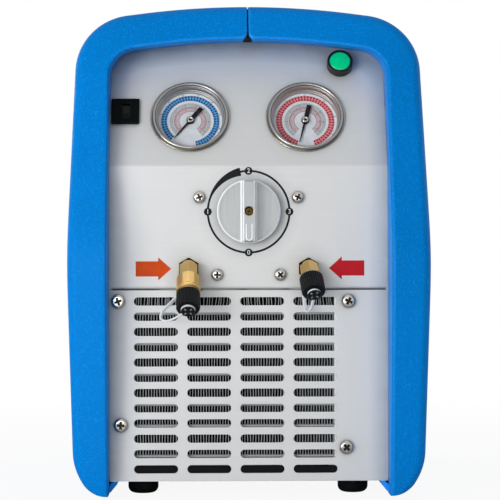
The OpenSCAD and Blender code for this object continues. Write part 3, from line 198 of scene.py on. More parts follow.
class Draft:
    """A mesh in the making, in millimetres in a local frame."""

    def __init__(self) -> None:
        """Starts with an empty mesh."""
        self.bm = bmesh.new()

    def loft(self, rings: Sequence[Points], closed: bool = False) -> "Draft":
        """Joins rings of points, one after another.

        Args:
            rings: closed rings with the same number of points.
            closed: whether the last ring meets the first; otherwise both ends are capped.

        Returns:
            This draft.
        """
        made = [[self.bm.verts.new(p) for p in ring] for ring in rings]
        for a, b in zip(made, made[1:] + made[:1] if closed else made[1:]):
            for i in range(len(a)):
                j = (i + 1) % len(a)
                self.bm.faces.new((a[i], a[j], b[j], b[i]))
        if not closed:
            self.bm.faces.new(made[0][::-1])
            self.bm.faces.new(made[-1])
        return self

    def lathe(self, profile: Sequence[Pair], steps: int = 96, loop: bool = False) -> "Draft":
        """Turns a profile of (radius, height) points about the local z axis.

        Args:
            profile: points from one end on the axis to the other, or round a ring.
            steps: pieces of the full turn.
            loop: whether the profile closes on itself.

        Returns:
            This draft.
        """
        turns = [TAU * i / steps for i in range(steps)]
        rows = []
        for r, z in profile:
            spots = [(r * math.cos(t), r * math.sin(t), z) for t in turns] if r > WELD else [(0.0, 0.0, z)]
            rows.append([self.bm.verts.new(p) for p in spots])
        for a, b in zip(rows, rows[1:] + rows[:1] if loop else rows[1:]):
            for i in range(steps):
                j = (i + 1) % steps
                low = a if len(a) == 1 else [a[i], a[j]]
                high = b if len(b) == 1 else [b[j], b[i]]
                if len(low) + len(high) > 2:
                    self.bm.faces.new([*low, *high])
        return self

    def prism(self, outline: Points, low: float, high: float, axis: str = "Z") -> "Draft":
        """Carries a closed outline, drawn in the other two axes, straight along an axis."""
        k = "XYZ".index(axis)
        return self.loft([[(*p[:k], end, *p[k:]) for p in outline] for end in (low, high)])

    def rod(self, radius: float, low: float, high: float, steps: int) -> "Draft":
        """Adds a plain round rod along the local z axis."""
        return self.lathe([(0, low), (radius, low), (radius, high), (0, high)], steps)

    def collar(self, inner: float, outer: float, span: Pair, steps: int, ease: float = 0.3) -> "Draft":
        """Adds a ring with eased outer edges.

        Args:
            inner: inner radius.
            outer: outer radius.
            span: lower and upper face.
            steps: pieces of the full turn.
            ease: size of the eased edges.

        Returns:
            This draft.
        """
        low, high = span
        profile = [(inner, low), (outer - ease, low), (outer, low + ease), (outer, high - ease),
                   (outer - ease, high), (inner, high)]
        return self.lathe(profile, steps, loop=True)

    def band(self, inner: Pair, outer: Pair, span: Pair, height: Pair, step: float = 3.0) -> "Draft":
        """Part of a flat ring on a dial.

        Args:
            inner: inner radius at the start and at the end.
            outer: outer radius at the start and at the end.
            span: first and last angle, in degrees clockwise from the bottom.
            height: lower and upper face.
            step: about how many degrees a piece has.

        Returns:
            This draft.
        """
        count = max(1, round(abs(span[1] - span[0]) / step))
        full = abs(span[1] - span[0]) >= 360
        rings = []
        for i in range(count if full else count + 1):
            k = i / count
            a = span[0] + (span[1] - span[0]) * k
            near, far = (clock(r[0] + (r[1] - r[0]) * k, a) for r in (inner, outer))
            rings.append([(*near, height[0]), (*far, height[0]), (*far, height[1]), (*near, height[1])])
        return self.loft(rings, closed=full)

    def sweep(self, route: Points, section: Sequence[Pair], up: Sequence[float]) -> "Draft":
        """Carries a section along a route without twisting it.

        Args:
            route: points in space.
            section: closed outline, its first axis kept near the up direction.
            up: direction of the first axis at the start.

        Returns:
            This draft.
        """
        points = [Vector(p) for p in route]
        lead = Vector(up)
        rings = []
        for i, p in enumerate(points):
            along = (points[min(i + 1, len(points) - 1)] - points[max(i - 1, 0)]).normalized()
            lead = (lead - along * lead.dot(along)).normalized()
            across = along.cross(lead)
            rings.append([p + lead * u + across * v for u, v in section])
        return self.loft(rings)

    def stamp(self, other: "Draft", *spots: Matrix) -> "Draft":
        """Adds copies of another draft.

        Args:
            other: the draft to copy.
            spots: where the copies go.

        Returns:
            This draft.
        """
        for spot in spots:
            copy = other.mesh("copy")
            copy.transform(spot)
            self.bm.from_mesh(copy)
            bpy.data.meshes.remove(copy)
        return self

    def shift(self, x: float = 0.0, y: float = 0.0, z: float = 0.0) -> "Draft":
        """Moves everything drafted so far."""
        self.bm.transform(moved(x, y, z))
        return self

    def turn(self, degrees: float, axis: str) -> "Draft":
        """Turns everything drafted so far about a local axis."""
        self.bm.transform(turned(degrees, axis))
        return self

    def soften(self, width: float, steps: int = 2, angle: float = 30.0) -> "Draft":
        """Rounds every edge that is sharper than an angle.

        Args:
            width: width of the round.
            steps: its pieces.
            angle: smallest bend in degrees that counts as an edge.

        Returns:
            This draft.
        """
        bmesh.ops.recalc_face_normals(self.bm, faces=self.bm.faces)
        bend = math.radians(angle)
        sharp = [e for e in self.bm.edges if e.is_manifold and e.calc_face_angle(0.0) > bend]
        bmesh.ops.bevel(self.bm, geom=sharp, offset=width, offset_type="OFFSET", segments=steps,
                        profile=0.5, affect="EDGES", clamp_overlap=True)
        return self

    def join(self, other: "Draft", way: Mix) -> "Draft":
        """Joins another solid to this one.

        Args:
            other: the other solid.
            way: whether it is added, cut away or kept in common.

        Returns:
            This draft.
        """
        bodies = []
        for draft in (self, other):
            body = bpy.data.objects.new("solid", draft.mesh("solid"))
            show(body)
            bodies.append(body)
        change = bodies[0].modifiers.new("join", "BOOLEAN")
        change.operation = way.value
        change.solver = "EXACT"
        change.object = bodies[1]
        result = final_mesh(bodies[0])
        self.bm.free()
        self.bm = bmesh.new()
        self.bm.from_mesh(result)
        bpy.data.meshes.remove(result)
        for body in bodies:
            mesh = body.data
            bpy.data.objects.remove(body)
            bpy.data.meshes.remove(mesh)
        return self

    def weld(self) -> None:
        """Joins points that lie on each other."""
        bmesh.ops.remove_doubles(self.bm, verts=self.bm.verts, dist=WELD)

    def mesh(self, name: str) -> bpy.types.Mesh:
        """Makes a mesh of the draft, its faces turned outwards.

        Args:
            name: name of the mesh.

        Returns:
            The mesh, still in millimetres.
        """
        self.weld()
        bmesh.ops.recalc_face_normals(self.bm, faces=self.bm.faces)
        made = bpy.data.meshes.new(name)
        self.bm.to_mesh(made)
        return made


def digits(text: str, size: float, height: Pair) -> Draft:
    """Drafts figures as thin plates, centred on the origin.

    Args:
        text: the figures.
        size: height of a figure.
        height: lower and upper face.

    Returns:
        The draft.
    """
    curve = bpy.data.curves.new("figures", "FONT")
    curve.body = text
    curve.size = size * FONT_SCALE
    curve.align_x = curve.align_y = "CENTER"
    curve.resolution_u = 3
    holder = bpy.data.objects.new("figures", curve)
    show(holder)
    flat = final_mesh(holder)
    draft = Draft()
    draft.bm.from_mesh(flat)
    draft.weld()
    grown = bmesh.ops.extrude_face_region(draft.bm, geom=list(draft.bm.faces))
    lifted = [v for v in grown["geom"] if isinstance(v, bmesh.types.BMVert)]
    bmesh.ops.translate(draft.bm, verts=lifted, vec=(0, 0, height[1] - height[0]))
    draft.shift(z=height[0])
    bpy.data.objects.remove(holder)
    bpy.data.curves.remove(curve)
    bpy.data.meshes.remove(flat)
    return draft


# Finishes


def srgb(*levels: int) -> Colour:
    """Linear colour of a colour that is written in the usual 0 to 255."""
    shares = [c / 255 for c in levels]
    return tuple(c / 12.92 if c <= 0.04 else ((c + 0.055) / 1.055) ** 2.4 for c in shares)


def shade(colour: Colour, factor: float = 1.0, lift: float = 0.0) -> tuple[float, float, float, float]:
    """A lighter or darker tone of a colour, with full opacity."""
    return (*(min(1.0, c * factor + lift) for c in colour), 1.0)


class Wiring:
    """Adds nodes to one shader tree and joins them."""

    def __init__(self, tree: bpy.types.NodeTree) -> None:
        """Keeps the tree."""
        self.tree = tree

    @classmethod
    def fresh(cls, holder: Union[bpy.types.Material, bpy.types.World]) -> "Wiring":
        """Starts with the emptied tree of a material or a world.

        Args:
            holder: the material or world.

        Returns:
            The wiring.
        """
        holder.use_nodes = True
        holder.node_tree.nodes.clear()
        return cls(holder.node_tree)

    def feed(self, socket: Socket, value: Feed) -> None:
        """Links a socket to another one, or sets its value.

        Args:
            socket: the input.
            value: the other socket, or the value.
        """
        if isinstance(value, bpy.types.NodeSocket):
            self.tree.links.new(value, socket)
        else:
            socket.default_value = value

    def add(self, kind: str, inputs: Optional[dict] = None, **settings: object) -> bpy.types.Node:
        """Adds a node.

        Args:
            kind: type of the node.
            inputs: values or sockets for its inputs, by name or number.
            settings: properties of the node.

        Returns:
            The node.
        """
        node = self.tree.nodes.new(kind)
        for key, value in settings.items():
            setattr(node, key, value)
        for key, value in (inputs or {}).items():
            self.feed(node.inputs[key], value)
        return node

    def calc(self, operation: str, a: Feed, b: Feed = 0.0, c: Feed = 0.0) -> Socket:
        """Result of a math node."""
        return self.add("ShaderNodeMath", {0: a, 1: b, 2: c}, operation=operation).outputs[0]

    def times(self, value: Feed, factor: Feed, base: Feed = 0.0) -> Socket:
        """A value times a factor, on top of a base."""
        return self.calc("MULTIPLY_ADD", value, factor, base)

    def vector(self, operation: str, a: Feed, b: Feed = (0.0, 0.0, 0.0)) -> bpy.types.Node:
        """A vector math node."""
        return self.add("ShaderNodeVectorMath", {0: a, 1: b}, operation=operation)

    def blend(self, factor: Feed, a: Feed, b: Feed) -> Socket:
        """Colour between two colours."""
        return self.add("ShaderNodeMix", {0: factor, 6: a, 7: b}, data_type="RGBA").outputs[2]

    def span(self, value: Feed, low: float, high: float, to: Pair = (0.0, 1.0)) -> Socket:
        """Value carried from one range to another."""
        return self.add("ShaderNodeMapRange", {0: value, 1: low, 2: high, 3: to[0], 4: to[1]}).outputs[0]

    def noise(self, place: Feed, scale: Feed, detail: float = 3.0, rough: float = 0.55) -> Socket:
        """Value of a noise texture."""
        inputs = {"Vector": place, "Scale": scale, "Detail": detail, "Roughness": rough}
        return self.add("ShaderNodeTexNoise", inputs).outputs[0]


class EffectGroup(Wiring):
    """Wiring of one effect's node group, which takes a place and an amount."""

    def __init__(self, name: str, amount: str) -> None:
        """Starts the group.

        Args:
            name: its name.
            amount: socket type of its amount.
        """
        super().__init__(bpy.data.node_groups.new(name, "ShaderNodeTree"))
        for label, kind in (("Place", "NodeSocketVector"), ("Amount", amount)):
            self.tree.interface.new_socket(label, in_out="INPUT", socket_type=kind)
        given = self.add("NodeGroupInput").outputs
        self.place, self.amount = given["Place"], given["Amount"]

    def close(self, **values: Socket) -> None:
        """Gives the group its outputs.

        Args:
            values: the sockets that feed them, by name.
        """
        for label in values:
            self.tree.interface.new_socket(label, in_out="OUTPUT", socket_type="NodeSocketFloat")
        self.add("NodeGroupOutput", values)

    def grain(self) -> None:
        """Pebbled skin of plastic and rubber at a scale: a height, and a mask of its high spots."""
        fine = self.noise(self.place, self.amount, 4.0, 0.62)
        inputs = {"Vector": self.place, "Scale": self.times(self.amount, 0.8)}
        cells = self.add("ShaderNodeTexVoronoi", inputs).outputs["Distance"]
        height = self.times(fine, 0.65, self.times(cells, 0.45))
        self.close(Height=height, Specks=self.span(height, 0.56, 0.76))

    def brushed(self) -> None:
        """Lines of rolled or brushed metal, drawn out by a stretch: a height, and a soft streak value."""
        drawn = self.vector("MULTIPLY", self.place, self.amount).outputs[0]
        streak = self.span(self.noise(drawn, 0.22, 3.0, 0.6), 0.3, 0.7)
        self.close(Height=self.noise(drawn, 1.0, 5.0, 0.7), Streak=streak)

    def tone(self) -> None:
        """Slow change of tone at a scale, with small smudges in it."""
        slow = self.noise(self.place, self.amount, 3.0, 0.5)
        small = self.noise(self.place, self.times(self.amount, 4.5), 5.0, 0.6)
        self.close(Tone=self.span(slow, 0.32, 0.68), Smudge=self.span(small, 0.52, 0.78))

    def edges(self) -> None:
        """Mask of the edges, of a width, broken up by a noise; most finishes pale them, partly as wear and
        partly as painted highlight.
        """
        rounded = self.add("ShaderNodeBevel", {"Radius": self.amount}, samples=4).outputs[0]
        flat = self.add("ShaderNodeNewGeometry").outputs["Normal"]
        bend = self.vector("DOT_PRODUCT", rounded, flat).outputs["Value"]
        broken = self.span(self.noise(self.place, 900.0, 4.0, 0.6), 0.35, 0.62)
        self.close(Mask=self.times(self.span(bend, 0.985, 0.9), broken))

    def rub(self) -> None:
        """Mask of painted highlight on rounded rims, where the surface bends more than an amount."""
        bend = self.calc("SUBTRACT", self.add("ShaderNodeNewGeometry").outputs["Pointiness"], self.amount)
        patches = self.span(self.noise(self.place, 420.0, 4.0, 0.6), 0.3, 0.6, (0.45, 1.0))
        self.close(Mask=self.times(self.span(bend, 0.0, 0.02), patches))

    def nooks(self) -> None:
        """Mask of painted shade within a reach of a wall or a fitting, from ambient occlusion."""
        near = self.add("ShaderNodeAmbientOcclusion", {"Distance": self.amount}, samples=8).outputs["AO"]
        patches = self.span(self.noise(self.place, 60.0, 3.0, 0.5), 0.3, 0.7, (0.75, 1.0))
        self.close(Mask=self.times(self.span(near, 1.0, 0.35), patches))


class Effect(Enum):
    """Surface effects that several finishes share, each one node group."""

    GRAIN = "Moulded grain"
    BRUSHED = "Brushed lines"
    TONE = "Uneven tone"
    # Edges paled partly by wear and partly as painted highlight.
    EDGES = "Worn edges"
    # Painted highlight along rounded rims.
    RUB = "Rubbed rims"
    # Painted shade near walls and fittings, from ambient occlusion.
    NOOKS = "Grime in nooks"

    def group(self) -> bpy.types.NodeTree:
        """The node group of the effect, built on first use.

        Returns:
            The group's tree.
        """
        found = bpy.data.node_groups.get(self.value)
        if found:
            return found
        made = EffectGroup(self.value, "NodeSocketVector" if self is Effect.BRUSHED else "NodeSocketFloat")
        EFFECT_MAKERS[self](made)
        return made.tree


EFFECT_MAKERS = {Effect.GRAIN: EffectGroup.grain, Effect.BRUSHED: EffectGroup.brushed,
                 Effect.TONE: EffectGroup.tone, Effect.EDGES: EffectGroup.edges,
                 Effect.RUB: EffectGroup.rub, Effect.NOOKS: EffectGroup.nooks}


class Surface(Wiring):
    """Wiring of one material, with its main shader and the place that its textures use."""

    def __init__(self, tree: bpy.types.NodeTree) -> None:
        """Adds the shader, the output and the place.

        Args:
            tree: the material's tree.
        """
        super().__init__(tree)
        self.shader = self.add("ShaderNodeBsdfPrincipled")
        self.add("ShaderNodeOutputMaterial", {"Surface": self.shader.outputs[0]})
        self.place = self.add("ShaderNodeTexCoord").outputs["Object"]

    def effect(self, kind: Effect, amount: Feed) -> dict[str, Socket]:
        """Outputs of an effect's group, placed with its amount."""
        inputs = {"Place": self.place, "Amount": amount}
        return dict(self.add("ShaderNodeGroup", inputs, node_tree=kind.group()).outputs.items())

    def vary(self, factor: Socket, colour: Colour, by: float) -> Socket:
        """Colour that goes from a little darker to a little lighter."""
        return self.blend(factor, shade(colour, 1 - by), shade(colour, 1 + by))

    def wear(self, colour: Socket, mask: Socket, share: float, tint: Sequence[float]) -> Socket:
        """Colour that a share of a tint covers where a mask is."""
        return self.blend(self.times(mask, share), colour, tint)

    def set(self, **inputs: Feed) -> None:
        """Feeds inputs of the shader, named with underscores for spaces."""
        for label, value in inputs.items():
            self.feed(self.shader.inputs[label.replace("_", " ")], value)

    def bump(self, height: Socket, strength: float, depth: float) -> None:
        """Lets a height bend the shading normal."""
        inputs = {"Strength": strength, "Distance": depth, "Height": height}
        self.set(Normal=self.add("ShaderNodeBump", inputs).outputs[0])


@dataclass(frozen=True)
class Finish:
    """A finish with a name, a main colour and the material slot that it goes with, if not its own name."""

    name: str
    colour: Colour
    slot: str = ""

    def material(self) -> bpy.types.Material:
        """The material of the finish, built on first use.

        Returns:
            The material.
        """
        label = f"{self.name}_finish"
        found = bpy.data.materials.get(label)
        if found:
            return found
        made = bpy.data.materials.new(label)
        made.diffuse_color = shade(self.colour)
        self.dress(Surface.fresh(made))
        return made

    def dress(self, s: Surface) -> None:
        """Wires the surface; each kind of finish has its own way."""
        raise NotImplementedError


@dataclass(frozen=True)
class Moulded(Finish):
    """Moulded plastic or rubber with a pebbled skin."""

    roughness: float = 0.5
    grain: float = 900.0
    depth: float = 0.00012
    tone: float = 0.05
    specks: float = 0.12
    # Share of edge wear with painted highlight.
    edge: float = 0.0
    # Share of painted highlight on rounded rims.
    rub: float = 0.0
    gloss: float = 0.5
    tone_scale: float = 9.0
    edge_w: float = 0.0006
    rim_highlight_start: float = 0.515

    def dress(self, s: Surface) -> None:
        """Wires colour, roughness and skin from grain, tone, edges paled partly by wear and partly as painted
        highlight, and painted highlight on rims.

        Args:
            s: the surface.
        """
        grain, tone = s.effect(Effect.GRAIN, self.grain), s.effect(Effect.TONE, self.tone_scale)
        colour = s.vary(tone["Tone"], self.colour, self.tone)
        colour = s.wear(colour, grain["Specks"], self.specks, shade(self.colour, 1.6))
        # Edges: partly wear, partly painted highlight.
        if self.edge:
            edges = s.effect(Effect.EDGES, self.edge_w)
            colour = s.wear(colour, edges["Mask"], self.edge, shade(self.colour, 0.5, 0.25))
        # Painted highlight: a paler tone on the rounded rims.
        if self.rub:
            rims = s.effect(Effect.RUB, self.rim_highlight_start)
            colour = s.wear(colour, rims["Mask"], self.rub, shade(self.colour, 1.6, 0.03))
        rough = s.times(grain["Height"], 0.12, self.roughness - 0.06)
        rough = s.times(tone["Smudge"], -0.05, rough)
        s.set(Base_Color=colour, Roughness=rough, Specular_IOR_Level=self.gloss)
        s.bump(grain["Height"], 0.35, self.depth)


@dataclass(frozen=True)
class Sheet(Finish):
    """Rolled, brushed or plated sheet and bar metal."""

    roughness: float = 0.34
    stretch: tuple[float, float, float] = (60.0, 60.0, 3000.0)
    depth: float = 0.00002
    streak: float = 0.03
    metal: float = 1.0
    # Share of painted shade near walls and fittings, then its reach and its cool grey colour.
    grime: float = 0.0
    tone_scale: float = 11.0
    painted_shade_reach: float = 0.016
    painted_shade_colour: Colour = srgb(92, 101, 106)

    def dress(self, s: Surface) -> None:
        """Wires colour, roughness and drawn lines, with painted shade in the nooks.

        Args:
            s: the surface.
        """
        lines, tone = s.effect(Effect.BRUSHED, self.stretch), s.effect(Effect.TONE, self.tone_scale)
        mixed = s.times(lines["Streak"], 0.5, s.times(tone["Tone"], 0.5))
        colour = s.vary(mixed, self.colour, self.streak)
        # Painted shade: a cool grey blended in where walls and fittings occlude the sheet.
        if self.grime:
            nooks = s.effect(Effect.NOOKS, self.painted_shade_reach)
            colour = s.wear(colour, nooks["Mask"], self.grime, shade(self.painted_shade_colour))
        rough = s.times(lines["Height"], 0.1, self.roughness - 0.05)
        s.set(Base_Color=colour, Roughness=s.times(tone["Smudge"], 0.05, rough), Metallic=self.metal)
        s.bump(lines["Height"], 0.25, self.depth)


@dataclass(frozen=True)
class Turned(Finish):
    """Turned, polished or cast metal, with edges paled partly by wear and partly as painted highlight."""

    roughness: float = 0.2
    grain: float = 1500.0
    depth: float = 0.00002
    edge: float = 0.5
    tone: float = 0.06
    tone_scale: float = 45.0
    edge_w: float = 0.0005

    def dress(self, s: Surface) -> None:
        """Wires colour, roughness and skin from tone, grain and edges.

        Args:
            s: the surface.
        """
        grain, tone = s.effect(Effect.GRAIN, self.grain), s.effect(Effect.TONE, self.tone_scale)
        edges = s.effect(Effect.EDGES, self.edge_w)
        colour = s.vary(tone["Tone"], self.colour, self.tone)
        rough = s.times(tone["Smudge"], 0.12, self.roughness)
        # Edges lightened partly by wear and partly as painted highlight.
        s.set(Base_Color=s.wear(colour, edges["Mask"], self.edge, shade(self.colour, 1.35)),
              Roughness=s.times(grain["Height"], 0.06, rough), Metallic=1.0)
        s.bump(grain["Height"], 0.2, self.depth)


@dataclass(frozen=True)
class Ink(Finish):
    """Screen print or dial paint: flat, a little uneven, with tiny pinholes."""

    roughness: float = 0.5
    gloss: float = 0.12
    grain: float = 5000.0
    depth: float = 0.00001
    tone_scale: float = 160.0

    def dress(self, s: Surface) -> None:
        """Wires colour, roughness and the slight skin of the ink.

        Args:
            s: the surface.
        """
        grain, tone = s.effect(Effect.GRAIN, self.grain), s.effect(Effect.TONE, self.tone_scale)
        colour = s.vary(tone["Tone"], self.colour, 0.06)
        colour = s.wear(colour, grain["Specks"], 0.12, shade(self.colour, 1.3))
        rough = s.times(tone["Smudge"], 0.1, self.roughness)
        s.set(Base_Color=colour, Roughness=rough, Specular_IOR_Level=self.gloss)
        s.bump(grain["Height"], 0.2, self.depth)


@dataclass(frozen=True)
class Lens(Finish):
    """Clear gauge window: nearly see-through, with gloss and a few smudges."""

    alpha: float = 0.05
    roughness: float = 0.03
    tone_scale: float = 30.0

    def dress(self, s: Surface) -> None:
        """Wires the gloss of the window and its smudges.

        Args:
            s: the surface.
        """
        smudge = s.effect(Effect.TONE, self.tone_scale)["Smudge"]
        s.set(Base_Color=shade(self.colour), Roughness=s.times(smudge, 0.12, self.roughness),
              Alpha=s.times(smudge, 0.03, self.alpha))


@dataclass(frozen=True)
class Tinted(Finish):
    """Tinted plastic of a lit button, bright as a painted glow, deeper in tone towards its rim."""

    rim: Colour = (0.0, 0.1, 0.05)
    roughness: float = 0.22
    grain: float = 1400.0
    depth: float = 0.00002
    tone_scale: float = 120.0
    edge_w: float = 0.0015

    def dress(self, s: Surface) -> None:
        """Wires the tint from uneven tone and the edges.

        Args:
            s: the surface.
        """
        grain, tone = s.effect(Effect.GRAIN, self.grain), s.effect(Effect.TONE, self.tone_scale)
        edges = s.effect(Effect.EDGES, self.edge_w)
        colour = s.blend(tone["Tone"], shade(self.colour, 0.9), shade(self.colour, 1.08))
        s.set(Base_Color=s.wear(colour, edges["Mask"], 0.5, shade(self.rim)),
              Roughness=s.times(tone["Smudge"], 0.1, self.roughness))
        s.bump(grain["Height"], 0.15, self.depth)


# The shell's rounded rims get a paler painted highlight.
SHELL_BLUE = Moulded("shell_blue", srgb(1, 124, 207), roughness=0.46, grain=1050.0, depth=0.0002, specks=0.6,
                     rub=0.9, gloss=0.035)
# The panel gets painted shade in a cool grey near the case walls and the fittings.
PANEL_STEEL = Sheet("panel_steel", srgb(207, 208, 208), roughness=0.5, metal=0.22, grime=0.7)
SCREW_STEEL = Turned("screw_steel", srgb(180, 177, 171), roughness=0.16)
# Dark cross set into the screws' recesses as painted shade.
RECESS_SHADE = Turned("recess_dark", srgb(40, 37, 34), "screw_steel", roughness=0.4)
ZINC = Sheet("zinc_steel", srgb(180, 184, 188), roughness=0.38, stretch=(900.0, 60.0, 60.0))
RUBBER = Moulded("foot_rubber", srgb(14, 15, 15), roughness=0.75, grain=1500.0, specks=0.05, gloss=0.1)
# Steel darkened below its own tone, a painted reflection of dark surroundings in the bezel.
GAUGE_STEEL = Turned("gauge_steel", srgb(150, 147, 142), roughness=0.14)
GAUGE_INNER = Turned("gauge_inner", srgb(166, 164, 162), "gauge_steel", roughness=0.34)
DIAL_WHITE = Ink("dial_white", srgb(236, 241, 248), roughness=0.55)
GLASS = Lens("gauge_glass", (0.03, 0.035, 0.04))
NEEDLE_BLACK = Ink("needle_black", srgb(14, 14, 15), roughness=0.42)
COPPER = Turned("copper", srgb(190, 118, 82), roughness=0.3)
BLACK = Moulded("black_plastic", srgb(13, 15, 16), roughness=0.4, grain=2200.0, depth=0.00005, specks=0.06,
                edge=0.2, gloss=0.12)
# Black lifted to a warm dark grey, partly the plastic's tone and partly painted sheen on the collar's side.
COLLAR_BLACK = Moulded("collar_black", srgb(26, 23, 23), "black_plastic", roughness=0.4, grain=1400.0,
                       depth=0.00005, gloss=0.3)
ROCKER_BLACK = Moulded("rocker_black", srgb(20, 22, 22), "black_plastic", roughness=0.45, grain=1400.0,
                       depth=0.00005, gloss=0.15)
BREAKER_BLACK = Moulded("breaker_black", srgb(4, 8, 8), "black_plastic", roughness=0.45, grain=2600.0,
                        depth=0.00004, specks=0.04, edge=0.15, gloss=0.05)
SEAL_GREY = Moulded("seal_grey", srgb(104, 106, 108), "foot_rubber", roughness=0.8, grain=1500.0,
                    depth=0.0001, gloss=0.1)
# Green raised above the plastic's own tone as a painted glow of the lit button.
GREEN = Tinted("start_green", srgb(4, 222, 138))
# Brass edges: wear and a strong painted highlight.
BRASS = Turned("brass", srgb(230, 192, 124), roughness=0.34, edge=0.8)
AGED_BRASS = Turned("aged_brass", srgb(120, 96, 52), "brass", roughness=0.4)
KNOB_GREY = Sheet("knob_grey", srgb(173, 176, 177), roughness=0.42, stretch=(2600.0, 60.0, 90.0), streak=0.16,
                  metal=0.3)
# White strips that paint the highlight of the knob's cut edges.
CUT_EDGE_HIGHLIGHT_WHITE = Moulded("cut_edge_highlight_white", srgb(250, 251, 252), "knob_grey", roughness=0.3, grain=2600.0, depth=0.00002,
                    tone=0.01, specks=0.02, gloss=0.6)
# Grey for painted glints in the split heads of the caps.
CAP_GLINT_GREY = Moulded("cap_glint_grey", srgb(140, 143, 143), "black_plastic", roughness=0.4, grain=2400.0,
                   depth=0.00003, specks=0.04)
STRAP_WHITE = Moulded("tether_white", srgb(226, 229, 232), roughness=0.45, grain=1800.0, depth=0.00004,
                      specks=0.05)
FIN_ALLOY = Sheet("fin_aluminium", srgb(172, 175, 176), roughness=0.45, stretch=(300.0, 60.0, 900.0),
                  metal=0.2)
MOTOR_PAINT = Moulded("motor_paint", srgb(62, 66, 70), roughness=0.45, grain=700.0, depth=0.0001, edge=0.4)
SHAFT_STEEL = Turned("shaft_steel", srgb(190, 192, 194))
CAST_ALLOY = Turned("cast_alloy", srgb(158, 160, 162), roughness=0.5, grain=600.0, depth=0.00018)
CAN_ALLOY = Turned("can_aluminium", srgb(202, 204, 206), roughness=0.3)
INK_BLACK = Ink("ink_black", srgb(22, 23, 25), "panel_steel")
INK_WHITE = Ink("ink_white", srgb(232, 234, 236), "panel_steel")
INK_ORANGE = Ink("ink_orange", srgb(206, 72, 16), "panel_steel")
INK_RED = Ink("ink_red", srgb(188, 24, 36), "panel_steel")
SCALE_BLUE = Ink("scale_blue", srgb(96, 176, 230), "dial_white")
SCALE_NAVY = Ink("scale_navy", srgb(4, 70, 140), "dial_white")
SCALE_ROSE = Ink("scale_rose", srgb(238, 150, 156), "dial_white")
SCALE_CRIMSON = Ink("scale_crimson", srgb(188, 14, 36), "dial_white")
SCALE_GREY = Ink("scale_grey", srgb(194, 201, 204), "dial_white")
SCALE_PINK = Ink("scale_pink", srgb(214, 194, 199), "dial_white")
SCALE_LINE = Ink("scale_line", srgb(168, 104, 118), "dial_white")
SCALE_TEXT = Ink("scale_text", srgb(84, 92, 110), "dial_white")

SLOT_FINISHES = {f.name: f for f in (
    SHELL_BLUE, PANEL_STEEL, SCREW_STEEL, ZINC, RUBBER, GAUGE_STEEL, DIAL_WHITE, GLASS, NEEDLE_BLACK, COPPER,
    BLACK, GREEN, BRASS, KNOB_GREY, STRAP_WHITE, FIN_ALLOY, MOTOR_PAINT, SHAFT_STEEL, CAST_ALLOY, CAN_ALLOY)}


# Pieces and their places


@dataclass(frozen=True)
class Layout:
    """Places that the sub-assemblies share, in millimetres, measured on the solids."""

    panel_y: float
    nose_y: float
    rear_y: float
    rear_panel_y: float
    case_h: float
    joint_z: float
    bend_up: float = 91.6
    knob_drop: float = 34.2
    port_drop: float = 76.4
    tilt: float = 25.0
    port_out: float = 7.5
    port_slope: float = 45.0

    @classmethod
    def measured(cls) -> "Layout":
        """Reads the places from the solids.

        Returns:
            The layout.
        """
        shell, panel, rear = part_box("right_shell"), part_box("control_panel"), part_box("rear_panel")
        return cls(panel_y=panel[0][1] / MM, nose_y=shell[0][1] / MM, rear_y=shell[1][1] / MM,
                   rear_panel_y=rear[1][1] / MM, case_h=shell[1][2] / MM, joint_z=panel[0][2] / MM)

    @property
    def bend_z(self) -> float:
        """Height where the control panel starts to tilt."""
        return self.joint_z + self.bend_up

    @property
    def knob_z(self) -> float:
        """Height of the selector's axis."""
        return self.bend_z - self.knob_drop

    @property
    def port_z(self) -> float:
        """Height of the ports where they leave the panel."""
        return self.bend_z - self.port_drop

    def set_back(self, z: float) -> float:
        """How far the tilted panel stands behind the upright one at a height."""
        return max(0.0, z - self.bend_z) * math.tan(math.radians(self.tilt))

    def on_slope(self, x: float, up: float) -> Matrix:
        """Frame on the tilted panel: x to the right, y up the panel, z out of it.

        Args:
            x: place across the panel.
            up: distance from the bend, along the panel.

        Returns:
            The frame.
        """
        tilt = math.radians(self.tilt)
        spot = self.level(x, self.panel_y + up * math.sin(tilt), self.bend_z + up * math.cos(tilt))
        return spot @ turned(90 - self.tilt, "X")

    def on_front(self, x: float, z: float) -> Matrix:
        """Frame on the upright panels: x to the right, y up, z out to the front."""
        return self.level(x, self.panel_y, z) @ turned(90, "X")

    def on_rear(self, x: float, z: float) -> Matrix:
        """Frame on the rear panel: y up, z out to the back."""
        return self.level(x, self.rear_panel_y, z) @ turned(180, "Z") @ turned(90, "X")

    def at_port(self, x: float, clock_angle: float) -> Matrix:
        """Frame of a port: z along its axis, down and out of the panel."""
        spot = self.level(x, self.panel_y - self.port_out, self.port_z)
        return spot @ turned(-clock_angle, "Y") @ turned(180 - self.port_slope, "X")

    @staticmethod
    def level(x: float = 0.0, y: float = 0.0, z: float = 0.0) -> Matrix:
        """Frame with the machine's own directions."""
        return Matrix.Scale(MM, 4) @ moved(x, y, z)


